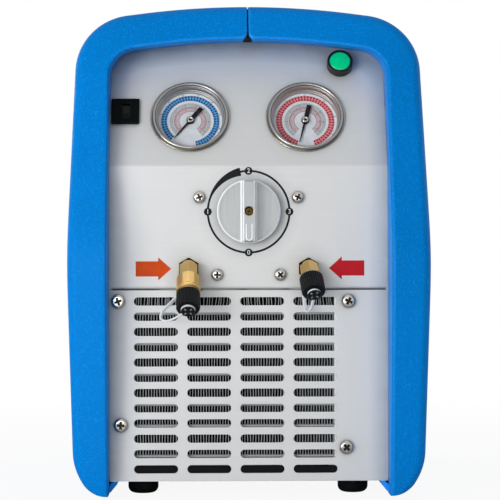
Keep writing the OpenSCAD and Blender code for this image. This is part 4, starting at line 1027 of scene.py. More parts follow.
@dataclass
class Assembly:
    """A sub-assembly of the machine, drafted in a frame of its own."""

    layout: Layout

    def spot(self) -> Matrix:
        """The frame, which is the machine's own unless a kind of assembly says otherwise."""
        return self.layout.level()

    def put(self, name: str, draft: Draft, finish: Finish, nodes: Sequence[str] = (), body: str = "case",
            spot: Optional[Matrix] = None, slot: str = "", sharp: float = 32.0) -> None:
        """Turns a draft into a piece of the machine.

        Args:
            name: name of the piece.
            draft: its shape.
            finish: its finish.
            nodes: solids that it stands for.
            body: the body that it moves with.
            spot: frame of the draft, if not the assembly's.
            slot: the material slot that it belongs to, if not the finish's; not used.
            sharp: bend in degrees from which an edge stays sharp in the shading.
        """
        spot = self.spot() if spot is None else spot
        mesh = draft.mesh(name)
        mesh.transform(spot)
        if spot.determinant() < 0:
            mesh.flip_normals()
        mesh.polygons.foreach_set("use_smooth", [True] * len(mesh.polygons))
        mesh.set_sharp_from_angle(angle=math.radians(sharp))
        mesh.materials.append(finish.material())
        piece = bpy.data.objects.new(name, mesh)
        show(piece)
        piece.modifiers.new("even_shading", "WEIGHTED_NORMAL").keep_sharp = True
        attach(piece, body)
        if nodes:
            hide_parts(*nodes)
        LOG.info("%s: %d faces, %s, moves with %s", name, len(mesh.polygons), finish.name, body)


@dataclass
class CaseShell(Assembly):
    """The two moulded halves of the case, one section swept from the seam over the shoulder to the heel."""

    half_w: float = 133.0
    waist_z: float = 180.0
    waist_r: float = 1200.0
    lift: float = 3.5
    shoulder_in: float = 5.0
    skirt_in: float = 3.5
    skirt_h: float = 21.5
    skirt_r: float = 44.0
    heel_in: float = 12.0
    heel_r: float = 19.0
    crown_r: float = 600.0
    crown_end: float = 53.0
    shoulder_r: float = 44.0
    wall: float = 4.0
    rim_r: float = 7.0
    lip_r: float = 3.0
    inner_lip: float = 0.6
    lean_top: float = 16.0
    lean_bottom: float = 6.0
    lean_r: float = 15.0
    rear_lean: float = 8.0
    face_lean: float = 3.0
    face_w: float = 24.0
    seam_gap: float = 0.8
    seam_r: float = 4.5
    seam_soft: float = 1.1
    half_open: float = 103.75
    band: float = 26.3
    arch_r: float = 520.0
    arch_end: float = 9.0
    rise: float = 1.9
    opening_r: float = 21.0
    past_panel: float = 6.0
    grip_w: float = 38.0
    grip_h: float = 23.0
    grip_r: float = 7.0
    grip_len: float = 112.0
    pocket_w: float = 34.0
    pocket_deep: float = 49.0
    pocket_wall: float = 3.0
    pocket_r: float = 10.0
    mouth_r: float = 4.0
    vent_rows: int = 7
    vent_l: float = 86.0
    vent_h: float = 5.0
    vent_pitch: float = 12.0
    vent_y: float = 62.0
    vent_z: float = 72.0
    pad_half: float = 48.0
    pad_t: float = 3.0
    pad_over: float = 9.0
    pad_ease: float = 0.6
    screw_z: float = 32.2
    screw_in: float = 51.2
    recess_r: float = 5.5

    def crown(self, x: float) -> float:
        """Height of the arched crown at a distance from the middle."""
        return self.layout.case_h - self.crown_r + math.sqrt(self.crown_r ** 2 - x * x)

    @staticmethod
    def meet(end: Vector, radius: float, side: float, slope: float, base: float) -> Vector:
        """Corner where an arch, carried on straight from its end, meets a leaning side.

        Args:
            end: last point of the arch.
            radius: radius of the arch.
            side: place of the side at the base height.
            slope: how fast the side leans in.
            base: the base height.

        Returns:
            The corner.
        """
        m = end.x / math.sqrt(radius ** 2 - end.x ** 2)
        x = (side - slope * (end.y + m * end.x - base)) / (1 - slope * m)
        return Vector((x, end.y - m * (x - end.x)))

    def outlines(self) -> tuple[list[Vector], list[Vector], list[float]]:
        """Half outlines of the case and of its opening, point for point.

        Returns:
            The outer outline, the inner outline, and how far each point's rim is set back at the seam.
        """
        top, arch_r = self.layout.case_h, self.arch_r
        edge, turns = self.seam_gap / 2, quarter(8)
        seam_xs = [edge + self.seam_r * (1 - math.cos(t)) for t in turns]
        lifts = [self.seam_r * (1 - math.sin(t)) for t in turns]
        soft = [self.seam_soft * (1 - (x - edge) / self.seam_r) ** 5 for x in seam_xs]
        shares = spread(0, 1, 12)[1:]
        crown_x, open_x = self.half_w - self.crown_end, self.half_open - self.opening_r - self.arch_end
        crown = [Vector((x, self.crown(x))) for x in seam_xs + [crown_x * k for k in shares]]
        arch = [Vector((x, top - self.band - arch_r + math.sqrt(arch_r ** 2 - x * x)))
                for x in seam_xs + [open_x * k for k in shares]]
        slope = self.shoulder_in / (top - self.waist_z)
        shoulder = self.meet(crown[-1], self.crown_r, self.half_w, slope, self.waist_z)
        waist = Vector((self.half_w, self.waist_z))
        skirt = Vector((self.half_w - self.skirt_in, self.lift + self.skirt_h))
        heel = Vector((skirt.x - self.heel_in, self.lift))
        over = corner(crown[-1], shoulder, waist, self.shoulder_r, 26)
        bulge = corner(shoulder, waist, skirt, self.waist_r, 14)
        tuck = corner(waist, skirt, heel, self.skirt_r, 10)
        under = corner(skirt, heel, Vector((self.half_open, self.lift)), self.heel_r, 12)
        side = ([over[-1].lerp(bulge[0], k / 6) for k in range(1, 6)] + bulge
                + [bulge[-1].lerp(tuck[0], k / 4) for k in range(1, 4)] + tuck + under)
        open_corner = self.meet(arch[-1], arch_r, self.half_open, 0.0, self.waist_z)
        bay = corner(arch[-1], open_corner, Vector((self.half_open, self.waist_z)), self.opening_r, 26)
        inner = [p + Vector((0, lift)) for p, lift in zip(arch, lifts + [0.0] * len(arch))] + bay
        inner += [Vector((self.half_open, p.y)) for p in side]
        outer = crown + over + side
        return outer, inner, soft + [0.0] * (len(outer) - len(soft))

    def lean(self, z: float, above: float, below: float) -> float:
        """How far a rim stands back from its nose at a height.

        Args:
            z: the height.
            above: lean of the rim above the waist, in degrees.
            below: its lean below the waist.

        Returns:
            The set-back, with a rounded nose at the waist.
        """
        up, down = (math.tan(math.radians(a)) for a in (above, below))
        a, c = (up - down) / 2, (up + down) / 2
        h, r = z - self.waist_z, self.lean_r
        return a * h + c * math.hypot(h, r) - r * math.sqrt(c * c - a * a)

    def front(self, z: float) -> float:
        """Place of the front rim at a height."""
        return self.layout.nose_y + self.lean(z, self.lean_top, self.lean_bottom)

    def back(self, z: float) -> float:
        """Place of the rear rim at a height."""
        return self.layout.rear_y - self.lean(z, self.rear_lean, self.lean_bottom)

    def skin(self, o: Vector, i: Vector, soft: float, depth: float) -> list[tuple[float, float, float]]:
        """Section of the shell at one place of its outline.

        Args:
            o: outer point.
            i: inner point.
            soft: extra set-back of the rims.
            depth: depth under the outside skin.

        Returns:
            Points from the front return over the outside to the rear return.
        """
        width = (i - o).length
        room = min(1.0, width / (self.rim_r + self.lip_r + self.wall))
        lip = (self.inner_lip if depth else self.lip_r) * room
        depth, rim_r = depth * room, self.rim_r * room
        c, rim = depth + lip, rim_r - depth
        path = [(width - c + lip * math.cos(t), c - lip * math.sin(t)) for t in quarter(7)]
        path += [(rim_r - rim * math.sin(t), rim_r - rim * math.cos(t)) for t in quarter(12)]
        reach = max(width, self.face_w)
        spots = [(o.lerp(i, q / width), d + self.face_lean * max(0.0, 1 - q / reach)) for q, d in path]
        edge, up = o.lerp(i, 1 - depth / width), (o - i).normalized()
        deep = edge + up * self.rise * max(0.0, up.y)
        points = [(deep.x, self.layout.panel_y + self.past_panel + self.layout.set_back(edge.y), deep.y)]
        points += [(p.x, self.front(p.y) + d + soft, p.y) for p, d in spots]
        behind = [(p.x, self.back(p.y) - d - soft, p.y) for p, d in reversed(spots)]
        near, far = Vector(points[-1]), Vector(behind[0])
        points += [tuple(near.lerp(far, share)) for share in (0.015, *spread(0, 1, 10)[1:-1], 0.985)]
        return points + behind + [(edge.x, self.layout.rear_panel_y - self.past_panel, edge.y)]

    def handle_block(self) -> Draft:
        """Walls of the finger pocket and half of the grip, still solid.

        Returns:
            The draft.
        """
        x0, x1 = self.seam_gap / 2, self.grip_w / 2 + self.pocket_w + self.pocket_wall
        y, r = self.grip_len / 2 + self.pocket_wall, self.pocket_r + self.pocket_wall
        outline = [(x0, -y), *arc((x1 - r, r - y), r, -90, 0, 8), *arc((x1 - r, y - r), r, 0, 90, 8), (x0, y)]
        low = self.layout.case_h - self.pocket_deep - self.pocket_wall
        return Draft().prism(outline, low, self.crown(x1) - 0.6)

    def pocket(self) -> Draft:
        """The hand opening with its rounded mouth, and the tunnel under the grip.

        Returns:
            The draft.
        """
        x0, x1, top = self.grip_w / 2, self.grip_w / 2 + self.pocket_w, self.layout.case_h
        floor, under, r, m = top - self.pocket_deep, top - self.grip_h, self.grip_r, self.mouth_r
        profile = [(-20.0, floor), (x1 + 30, floor), (x1 + 30, top + 20), (x0 - m, top + 20)]
        mouth_z = self.crown(x0) - m + 0.02
        profile += [(x0 - m + m * math.sin(t), mouth_z + m * math.cos(t)) for t in quarter(6)]
        profile += arc((x0 - r, under + r), r, 0, -90, 6) + [(-20.0, under)]
        tunnel = Draft().prism(profile, -self.grip_len, self.grip_len).turn(90, "X")
        flare = [(0.0, self.pocket_deep), (0.0, m)]
        flare += [(m - m * math.cos(t), m - m * math.sin(t)) for t in quarter(6)[1:]] + [(m, -12.0)]
        rings = []
        for out, down in flare:
            rings.append([])
            for x, y in box_outline(2 * x1, self.grip_len, self.pocket_r, 8):
                px, py = x + math.copysign(out, x), y + math.copysign(out, y)
                rings[-1].append((px, py, floor if down > m + 1 else self.crown(min(abs(px), x1)) - down))
        return tunnel.join(Draft().loft(rings), Mix.KEEP)

    def side_cuts(self) -> Draft:
        """Air slots with eased mouths, and the deep recesses of the shell screws.

        Returns:
            The draft.
        """
        cuts = Draft()
        mouth = ((-20, 0.0), (-3.4, 0.0), (-2.2, 0.35), (-1.2, 1.0), (9, 4.0))
        for row in range(self.vent_rows):
            rings = []
            for out, grow in mouth:
                h = self.vent_h + 2 * grow
                flat = box_outline(self.vent_l + 2 * grow, h, h / 2 - 0.01, 8)
                z = self.vent_z + row * self.vent_pitch
                rings.append([(self.half_w + out, self.vent_y + u, z + v) for u, v in flat])
            cuts.loft(rings)
        r = self.recess_r
        bore = [(0, -30), (2.6, -30), (2.6, 0), (r, 0), (r, 21), (6.4, 22), (6.4, 40), (0, 40)]
        for y in self.screw_ys():
            spot = moved(self.half_open + self.wall, y, self.screw_z) @ turned(90, "Y")
            cuts.stamp(Draft().lathe(bore, 40), spot)
        return cuts

    def screw_ys(self) -> tuple[float, float]:
        """Places of the shell screws along the depth."""
        return self.layout.panel_y + self.screw_in, self.layout.rear_panel_y - self.screw_in

    def sill(self) -> Draft:
        """Closed underside of the skirt, with the lip under the base plate.

        Returns:
            The draft.
        """
        low, high, foot = self.lift + 0.4, self.lift + 0.4 + self.wall, self.half_w - self.skirt_in
        x, ledge = self.half_open, (11.0, 13.0)
        plate = [(x + 1.5, low), (foot - 22, low), (foot - 15, high), (x + 1.5, high)]
        lip = [(x + 3, low + 1), (x - 1, low + 1), (x - 6, ledge[0]), (x - 6, ledge[1]), (x - 3, ledge[1]),
               (x + 3, high - 1)]
        inside = 2 * self.wall
        made = Draft().prism(plate, self.front(self.lift) + inside, self.back(self.lift) - inside, "Y")
        rail = Draft().prism(lip, self.layout.panel_y + 1.2, self.layout.rear_panel_y - 1.2, "Y")
        return made.join(rail, Mix.ADD)

    def half(self) -> Draft:
        """One half of the case, on the viewer's right.

        Returns:
            The draft in the machine's frame.
        """
        made = Draft().loft([self.skin(o, i, soft, 0.0) + self.skin(o, i, soft, self.wall)[::-1]
                             for o, i, soft in zip(*self.outlines())])
        made.join(self.handle_block(), Mix.ADD)
        made.join(self.pocket(), Mix.CUT)
        return made.join(self.side_cuts(), Mix.CUT)

    def tongue(self) -> Draft:
        """Dark tongue that closes the seam between the halves, a little under the skin.

        Returns:
            The draft.
        """
        seam = [places[0] for places in self.outlines()]
        loop = self.skin(*seam, 1.5) + self.skin(*seam, self.wall)[::-1]
        reach = self.seam_gap / 2 + 0.1
        made = Draft().prism([p[1:] for p in loop], -reach, reach, "X")
        low = self.layout.case_h - self.band + 0.1
        y, foot, tip = self.front(low) + self.lip_r, low + 0.7, low + self.seam_r + 1
        return made.prism([(-3.2, foot), (3.2, foot), (0.5, tip), (-0.5, tip)], y, y + 24, "Y")

    def hem(self) -> Draft:
        """Bands of panel sheet inside the rims of both openings, so that the panels end inside the shell.

        Returns:
            The draft of one half.
        """
        at, lowest = self.layout, 14
        outer, inner, _ = self.outlines()
        front, rear = [], []
        for k, (o, i) in enumerate(zip(outer, inner)):
            if i.y < lowest:
                break
            up = (o - i).normalized()
            top = max(0.0, up.y)
            low, high = i - up * (2 + 8 * top), i + up * (self.rise * top + 1.2)
            strip = [(p.x if k else 0.0, behind, p.y)
                     for p, behind in ((low, 0.35), (high, 0.35), (high, 1.1), (low, 1.1))]
            front.append([(x, at.panel_y + at.set_back(z) + y, z) for x, y, z in strip])
            rear.append([(x, at.rear_panel_y - y, z) for x, y, z in strip])
        return Draft().loft(front).loft(rear)

    def filter_pad(self) -> Draft:
        """Dark foam behind the air slots, along the lean of the wall, with eased edges.

        Returns:
            The draft.
        """
        low = self.vent_z - self.pad_over
        high = self.vent_z + (self.vent_rows - 1) * self.vent_pitch + self.pad_over
        h, t, e, more = self.pad_half, self.pad_t, self.pad_ease, 12
        section = [(e, -h), (0, e - h), (0, h - e), (e, h), (t - e, h), (t, h - e), (t, e - h), (t - e, -h)]
        rings = []
        for p in self.outlines()[0]:
            if low - more < p.y < high + more:
                x, z = p.x - self.wall - e, min(max(p.y, low), high)
                rings.append([(x - u, self.vent_y + v, z) for u, v in section])
        return Draft().loft(rings)

    def build(self) -> None:
        """Builds both halves, the left one as the mirror image of the right one."""
        half, sill, hem, pad = self.half(), self.sill(), self.hem(), self.filter_pad()
        self.put("seam_tongue", self.tongue(), RUBBER, slot="black_plastic")
        for side in Side:
            name, spot = side.name.lower(), self.spot() @ Matrix.Scale(side.value, 4, (1, 0, 0))
            self.put(f"{name}_case_shell", half, SHELL_BLUE, [f"{name}_shell"], spot=spot, sharp=40)
            self.put(f"{name}_skirt_sill", sill, SHELL_BLUE, [f"{name}_shell"], spot=spot)
            self.put(f"{name}_panel_hem", hem, PANEL_STEEL, spot=spot)
            self.put(f"{name}_filter_pad", pad, RUBBER, spot=spot)


@dataclass
class Feet(Assembly):
    """Domed rubber feet."""

    height: float = 13.0
    diameter: float = 23.0
    dome: float = 5.0
    bore_r: float = 2.2
    recess_r: float = 4.5
    web: float = 5.0

    @staticmethod
    def places() -> dict[str, Vector]:
        """Middles of the feet's solids in millimetres, by node.

        Returns:
            The places.
        """
        names = [f"{end}_{side.name.lower()}_foot" for end in ("front", "rear") for side in Side]
        boxes = {name: [Vector(c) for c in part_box(name)] for name in names}
        return {name: (low + high) / 2 / MM for name, (low, high) in boxes.items()}

    def build(self) -> None:
        """Builds the four feet where their solids are."""
        r, h, d, hole = self.diameter / 2, self.height, self.dome, self.recess_r
        profile = [(self.bore_r, h), (self.bore_r, h - self.web), (hole, h - self.web), (hole, 0.35),
                   (hole + 0.35, 0.0)]
        profile += [(r - d + d * math.sin(t), d - d * math.cos(t)) for t in quarter(10)]
        profile += [(r, 9.2), (r - 0.25, 9.5), (r - 0.25, 9.9), (r, 10.2), (r, h - 0.5), (r - 0.5, h)]
        for name, middle in self.places().items():
            foot, spot = Draft().lathe(profile, 72, loop=True), self.layout.level(middle.x, middle.y)
            self.put(name.replace("foot", "rubber_foot"), foot, RUBBER, [name], spot=spot)


@dataclass
class Fasteners(Assembly):
    """Cross-recess pan head screws of the panels, the shells and the feet."""

    small_d: float = 9.2
    large_d: float = 10.8
    grille_x: Sequence[float] = (6.9, 8.8, 74.0, 72.3)
    grille_z: Sequence[float] = (9.0, 54.8, 38.0)
    valve_spots: Sequence[Pair] = ((36.6, 10.6), (23.4, -46.8))
    rear_in: float = 9.0
    rear_low: float = 34.0
    rear_drop: float = 53.0
    foot_z: float = 8.0
    grille_l: float = 8.0
    valve_l: float = 12.0
    rear_l: float = 8.0
    side_l: float = 10.0
    foot_sizes: Sequence[float] = (7.6, 9.2, 2.6, 4.0)
    first_turn: float = 20.0
    next_turn: float = 67.0
    recess_fit: float = 0.97
    recess_fill: float = 0.82

    @classmethod
    def screw(cls, head_d: float, head_h: float, shank_d: float, shank_l: float) -> Draft:
        """A pan head screw with a cross recess.

        Args:
            head_d: diameter of the head.
            head_h: its height.
            shank_d: diameter of the shank.
            shank_l: its length.

        Returns:
            The draft, its head over z = 0.
        """
        r, s, tip = head_d / 2, shank_d / 2, 0.6
        profile = [(0, -shank_l), (s - tip, -shank_l), (s, tip - shank_l), (s, 0), (r - 0.15, 0), (r, 0.15)]
        profile += [(r - head_h * 0.7 * (1 - math.cos(t)), head_h * (0.25 + 0.75 * math.sin(t)))
                    for t in quarter(12)]
        profile += [(r * 0.3, head_h + 0.02), (0, head_h + 0.03)]
        return Draft().lathe(profile, 56).join(cls.cross(head_d, head_h, 1.0, head_h + 1), Mix.CUT)

    @staticmethod
    def cross(head_d: float, head_h: float, size: float, top: float) -> Draft:
        """Tapered cross that a driver fits.

        Args:
            head_d: diameter of the head.
            head_h: its height.
            size: scale of the cross.
            top: height of its upper end.

        Returns:
            The draft.
        """
        arm, slim, low = head_d * 0.32 * size, head_d * 0.1 * size, head_h * 0.3
        rings = [[(x * k, y * j, z) for x, y in ((-1, -1), (1, -1), (1, 1), (-1, 1))]
                 for k, j, z in ((arm * 0.5, slim * 0.8, low), (arm, slim, top))]
        flat, upright = (Draft().loft(rings).turn(turn, "Z") for turn in (0, 90))
        return flat.join(upright, Mix.ADD)

    def group(self, name: str, node: str, spots: Sequence[Matrix], head_d: float, shank_l: float,
              head_h: float = 3.2, shank_d: float = 4.8) -> None:
        """Places one group of screws, each turned its own way.

        Args:
            name: name of the piece.
            node: the solids that it stands for.
            spots: frames of the screws, in metres.
            head_d: diameter of the heads.
            shank_l: length of the shanks.
            head_h: height of the heads.
            shank_d: diameter of the shanks.
        """
        turns = [turned(self.first_turn + self.next_turn * i, "Z") for i in range(len(spots))]
        places = [Matrix.Scale(1 / MM, 4) @ spot @ turn for spot, turn in zip(spots, turns)]
        heads = Draft().stamp(self.screw(head_d, head_h, shank_d, shank_l), *places)
        self.put(name, heads, SCREW_STEEL, [node], sharp=38)
        # A dark cross fills most of each recess as painted shade.
        recess = self.cross(head_d, head_h, self.recess_fit, head_h * self.recess_fill)
        self.put(f"{name}_recess", Draft().stamp(recess, *places), RECESS_SHADE, [node])

    def build(self, shell: CaseShell) -> None:
        """Builds every group of screws.

        Args:
            shell: the case that they hold.
        """
        at, half, sides = self.layout, shell.half_open, [side.value for side in Side]
        drop, low_left, low_right = self.grille_z
        xs = [x - half if x < half / 2 else x for x in self.grille_x]
        zs = [at.joint_z - drop, low_left, at.joint_z - drop, low_right]
        self.group("grille_panel_screws", "grille_screws", [at.on_front(x, z) for x, z in zip(xs, zs)],
                   self.large_d, self.grille_l)
        spots = [at.on_front(s * x, at.knob_z + z) for s in sides for x, z in self.valve_spots]
        self.group("valve_plate_screws", "valve_screws", spots, self.small_d, self.valve_l)
        heights = (self.rear_low, shell.waist_z, at.case_h - self.rear_drop)
        spots = [at.on_rear(s * (half - self.rear_in), z) for s in sides for z in heights]
        self.group("rear_panel_screws", "rear_screws", spots, self.small_d, self.rear_l)
        spots = [at.level(s * (half + shell.wall), y, shell.screw_z) @ turned(s * 90, "Y")
                 for s in sides for y in shell.screw_ys()]
        self.group("side_screws", "shell_screws", spots, self.small_d, self.side_l)
        spots = [at.level(m.x, m.y, self.foot_z) @ turned(180, "X") for m in Feet.places().values()]
        self.group("foot_screw_set", "foot_screws", spots, *self.foot_sizes)


@dataclass
class Gauge(Assembly):
    """One pressure gauge: bezel, printed dial, needle and window."""

    name: str
    x: float
    rest: float
    span: Pair
    ring: Finish
    ticks: Finish
    figures: Sequence[str]
    tick_count: int = 48
    up: float = 41.5
    flange_r: float = 30.0
    bezel_h: float = 3.4
    dial_z: float = -6.3
    needle_l: float = 19.3
    tail_l: float = 13.4
    inner_span: Pair = (35, 325)
    scale_r: Pair = (17.9, 21.7)
    scale_lines: Pair = (17.7, 21.6)
    tick_rows: Sequence[Pair] = ((17.9, 19.5), (20.1, 21.7))
    tick_half: float = 1.75
    outer_band: Pair = (12.7, 15.6)
    inner_band: Pair = (8.4, 12.2)
    band_lines: Pair = (8.25, 12.0)
    fine_rows: Sequence[Pair] = ((10.9, 12.0),)
    fine_span: Pair = (38, 322)
    fine_count: int = 47
    figure_r: float = 22.9
    dash_span: Pair = (40, 320)
    dash_count: int = 29
    dashes: Sequence[tuple[float, float, float]] = ((14.9, 15.5, 0.5), (11.5, 12.1, 0.6))
    inner_figures: Sequence[tuple[int, float]] = ((5, 13.7), (2, 10.2))
    inner_figure_span: Pair = (50, 310)
    inner_figure_count: int = 7

    def spot(self) -> Matrix:
        """Frame of the gauge on the tilted panel."""
        return self.layout.on_slope(self.x, self.up)

    def bezel(self) -> None:
        """Builds the polished bezel: flange, rolled ring and inner cone."""
        r, h, z, nodes = self.flange_r, self.bezel_h, self.dial_z + 0.02, [f"{self.name}_gauge_bezel"]
        profile = [(r - 3, 0.0), (r - 0.1, 0.0), *arc((r - 0.45, 0.45), 0.45, -45, 90, 6), (r - 1.0, 0.8),
                   (r - 1.1, 0.6), (r - 1.25, 0.8), *arc((r - 2.6, h - 1.35), 1.35, -20, 160, 14),
                   (r - 4.0, h - 1.5), (r - 4.0, 0.0)]
        self.put(f"{self.name}_bezel_ring", Draft().lathe(profile, 144, loop=True), GAUGE_STEEL, nodes)
        cone = [(4.0, h - 1.55), (4.1, 1.7), (4.3, 1.6), (4.3, 0.15), (4.7, 0.1), (5.0, -0.6), (5.1, -2.2),
                (5.4, -2.4), (5.5, -4.0), (5.9, -4.2), (6.1, z), (3.4, z), (3.4, h - 1.8)]
        cone = [(r - inside, height) for inside, height in cone]
        self.put(f"{self.name}_bezel_cone", Draft().lathe(cone, 144, loop=True), GAUGE_INNER, nodes)

    def ink(self, draft: Draft, inner: float, outer: float, span: Pair, top: float) -> Draft:
        """Adds part of a printed ring.

        Args:
            draft: the print so far.
            inner: inner radius.
            outer: outer radius.
            span: first and last angle.
            top: thickness of the print.

        Returns:
            The draft.
        """
        return draft.band((inner, inner), (outer, outer), span, (self.dial_z + PRINT_LOW, self.dial_z + top))

    def marks(self, draft: Draft, rows: Sequence[Pair], angles: Sequence[float], half: float,
              top: float) -> None:
        """Adds short marks to the dial.

        Args:
            draft: the print so far.
            rows: inner and outer radius of each row.
            angles: where the marks are.
            half: half of a mark's width, in degrees.
            top: thickness of the print.
        """
        for a in angles:
            for inner, outer in rows:
                self.ink(draft, inner, outer, (a - half, a + half), top)

    def text(self, draft: Draft, figure: str, size: float, radius: float, angle: float, top: float) -> None:
        """Adds a printed figure at a place of the dial."""
        plate = digits(figure, size, (self.dial_z + PRINT_LOW, self.dial_z + top))
        draft.stamp(plate, moved(*clock(radius, angle)))

    def dial(self) -> None:
        """Builds the printed scales: a coloured ring with ticks, two pale bands and the figures."""
        self.put(f"{self.name}_scale_ring", self.ink(Draft(), *self.scale_r, self.span, 0.06), self.ring)
        ticks, lines, text = Draft(), Draft(), Draft()
        for inner in self.scale_lines:
            self.ink(ticks, inner, inner + 0.3, self.span, 0.1)
        self.marks(ticks, self.tick_rows, spread(*self.span, self.tick_count), self.tick_half, 0.1)
        self.put(f"{self.name}_scale_ticks", ticks, self.ticks)
        bands = (("outer", self.outer_band, SCALE_GREY), ("inner", self.inner_band, SCALE_PINK))
        for part, radii, finish in bands:
            band = self.ink(Draft(), *radii, self.inner_span, 0.05)
            self.put(f"{self.name}_{part}_band", band, finish)
        for inner in self.band_lines:
            self.ink(lines, inner, inner + 0.35, self.inner_span, 0.08)
        self.marks(lines, self.fine_rows, spread(*self.fine_span, self.fine_count), 0.9, 0.08)
        self.put(f"{self.name}_band_lines", lines, SCALE_LINE)
        for figure, a in zip(self.figures, spread(*self.span, len(self.figures) - 1)):
            self.text(text, figure, 1.2, self.figure_r, a, 0.08)
        for a in spread(*self.dash_span, self.dash_count):
            for inner, outer, half in self.dashes:
                self.marks(text, [(inner, outer)], [a], half, 0.09)
        for i, a in enumerate(spread(*self.inner_figure_span, self.inner_figure_count)):
            for step, radius in self.inner_figures:
                self.text(text, str(i * step), 1.3, radius, a, 0.09)
        self.put(f"{self.name}_figures", text, SCALE_TEXT)

    def needle(self) -> None:
        """Builds the needle with its hub, and the bright pin in the hub."""
        z, tip, tail, body = self.dial_z, -self.needle_l, self.tail_l, f"{self.name}_needle"
        side = [(0.3, tip), (0.95, 0), (1.7, 2.2), (1.7, tail)]
        outline = [(-0.3, tip), *side, *((-x, y) for x, y in side[:0:-1])]
        blade = Draft().prism(outline, z + 1.2, z + 1.2 + 0.7).soften(0.12, 2)
        hub = Draft().lathe([(0, z - 5.8), (0.9, z - 5.8), (0.9, z + 0.5), (2.9, z + 0.5), (3.0, z + 0.6),
                             (3.0, z + 2.3), (2.7, z + 2.6), (0, z + 2.6)], 48)
        self.put(f"{self.name}_pointer", blade.join(hub, Mix.ADD).turn(-self.rest, "Z"), NEEDLE_BLACK,
                 [f"{self.name}_gauge_needle"], body)
        pin = Draft().lathe([(1.1, z + 2.5), (2.5, z + 2.5), (2.5, z + 2.8), (2.2, z + 3.05),
                             (1.4, z + 3.15), (1.1, z + 2.95)], 40, loop=True)
        self.put(f"{self.name}_pointer_pin", pin, SCREW_STEEL, body=body, slot="gauge_steel")

    def build(self) -> None:
        """Builds the whole gauge."""
        self.bezel()
        self.dial()
        self.needle()


@dataclass
class StartButton(Assembly):
    """Green start button in a black collar."""

    x: float = 70.3
    drop: float = 16.9
    band: float = 28.5
    radius: float = 9.7
    height: float = 7.6
    travel: float = 3.0
    rim: float = 1.75
    barrel_r: float = 8.0
    barrel_l: float = 20.0
    stem_r: float = 3.0
    floor: float = 0.6

    def spot(self) -> Matrix:
        """Frame of the button on the tilted panel."""
        at = self.layout
        slope = (at.case_h - self.band - at.bend_z) / math.cos(math.radians(at.tilt))
        return at.on_slope(self.x, slope - self.drop)

    def build(self) -> None:
        """Builds the collar with its barrel, and the sprung cap."""
        r, h, cap_r, bore = self.radius, self.height, self.radius - self.rim, self.stem_r + 0.1
        groove = [(r, 1.4), (r - 0.25, 1.6), (r - 0.25, 2.0), (r, 2.2)]
        collar = [(self.barrel_r, -self.barrel_l), (self.barrel_r, 0.0), (r - 0.2, 0.0), (r, 0.25), *groove,
                  (r, h - 0.8), *arc((r - 0.4, h - 0.4), 0.4, 0, 90, 6), (cap_r + 0.35, h),
                  (cap_r + 0.15, h - 0.3), (cap_r + 0.15, self.floor), (bore, self.floor),
                  (bore, -self.barrel_l)]
        self.put("start_collar_ring", Draft().lathe(collar, 96, loop=True), COLLAR_BLACK, ["start_collar"])
        foot, top, stem = self.floor + self.travel + 0.1, h - 0.2, self.stem_r
        cap = [(0, foot - 12), (stem, foot - 12), (stem, foot), (cap_r, foot),
               *arc((cap_r - 0.8, top - 0.8), 0.8, 0, 90, 8), (cap_r * 0.7, top + 0.12),
               (cap_r * 0.4, top + 0.24), (0, top + 0.3)]
        self.put("start_button_cap", Draft().lathe(cap, 96), GREEN, ["start_cap"], "start_button")


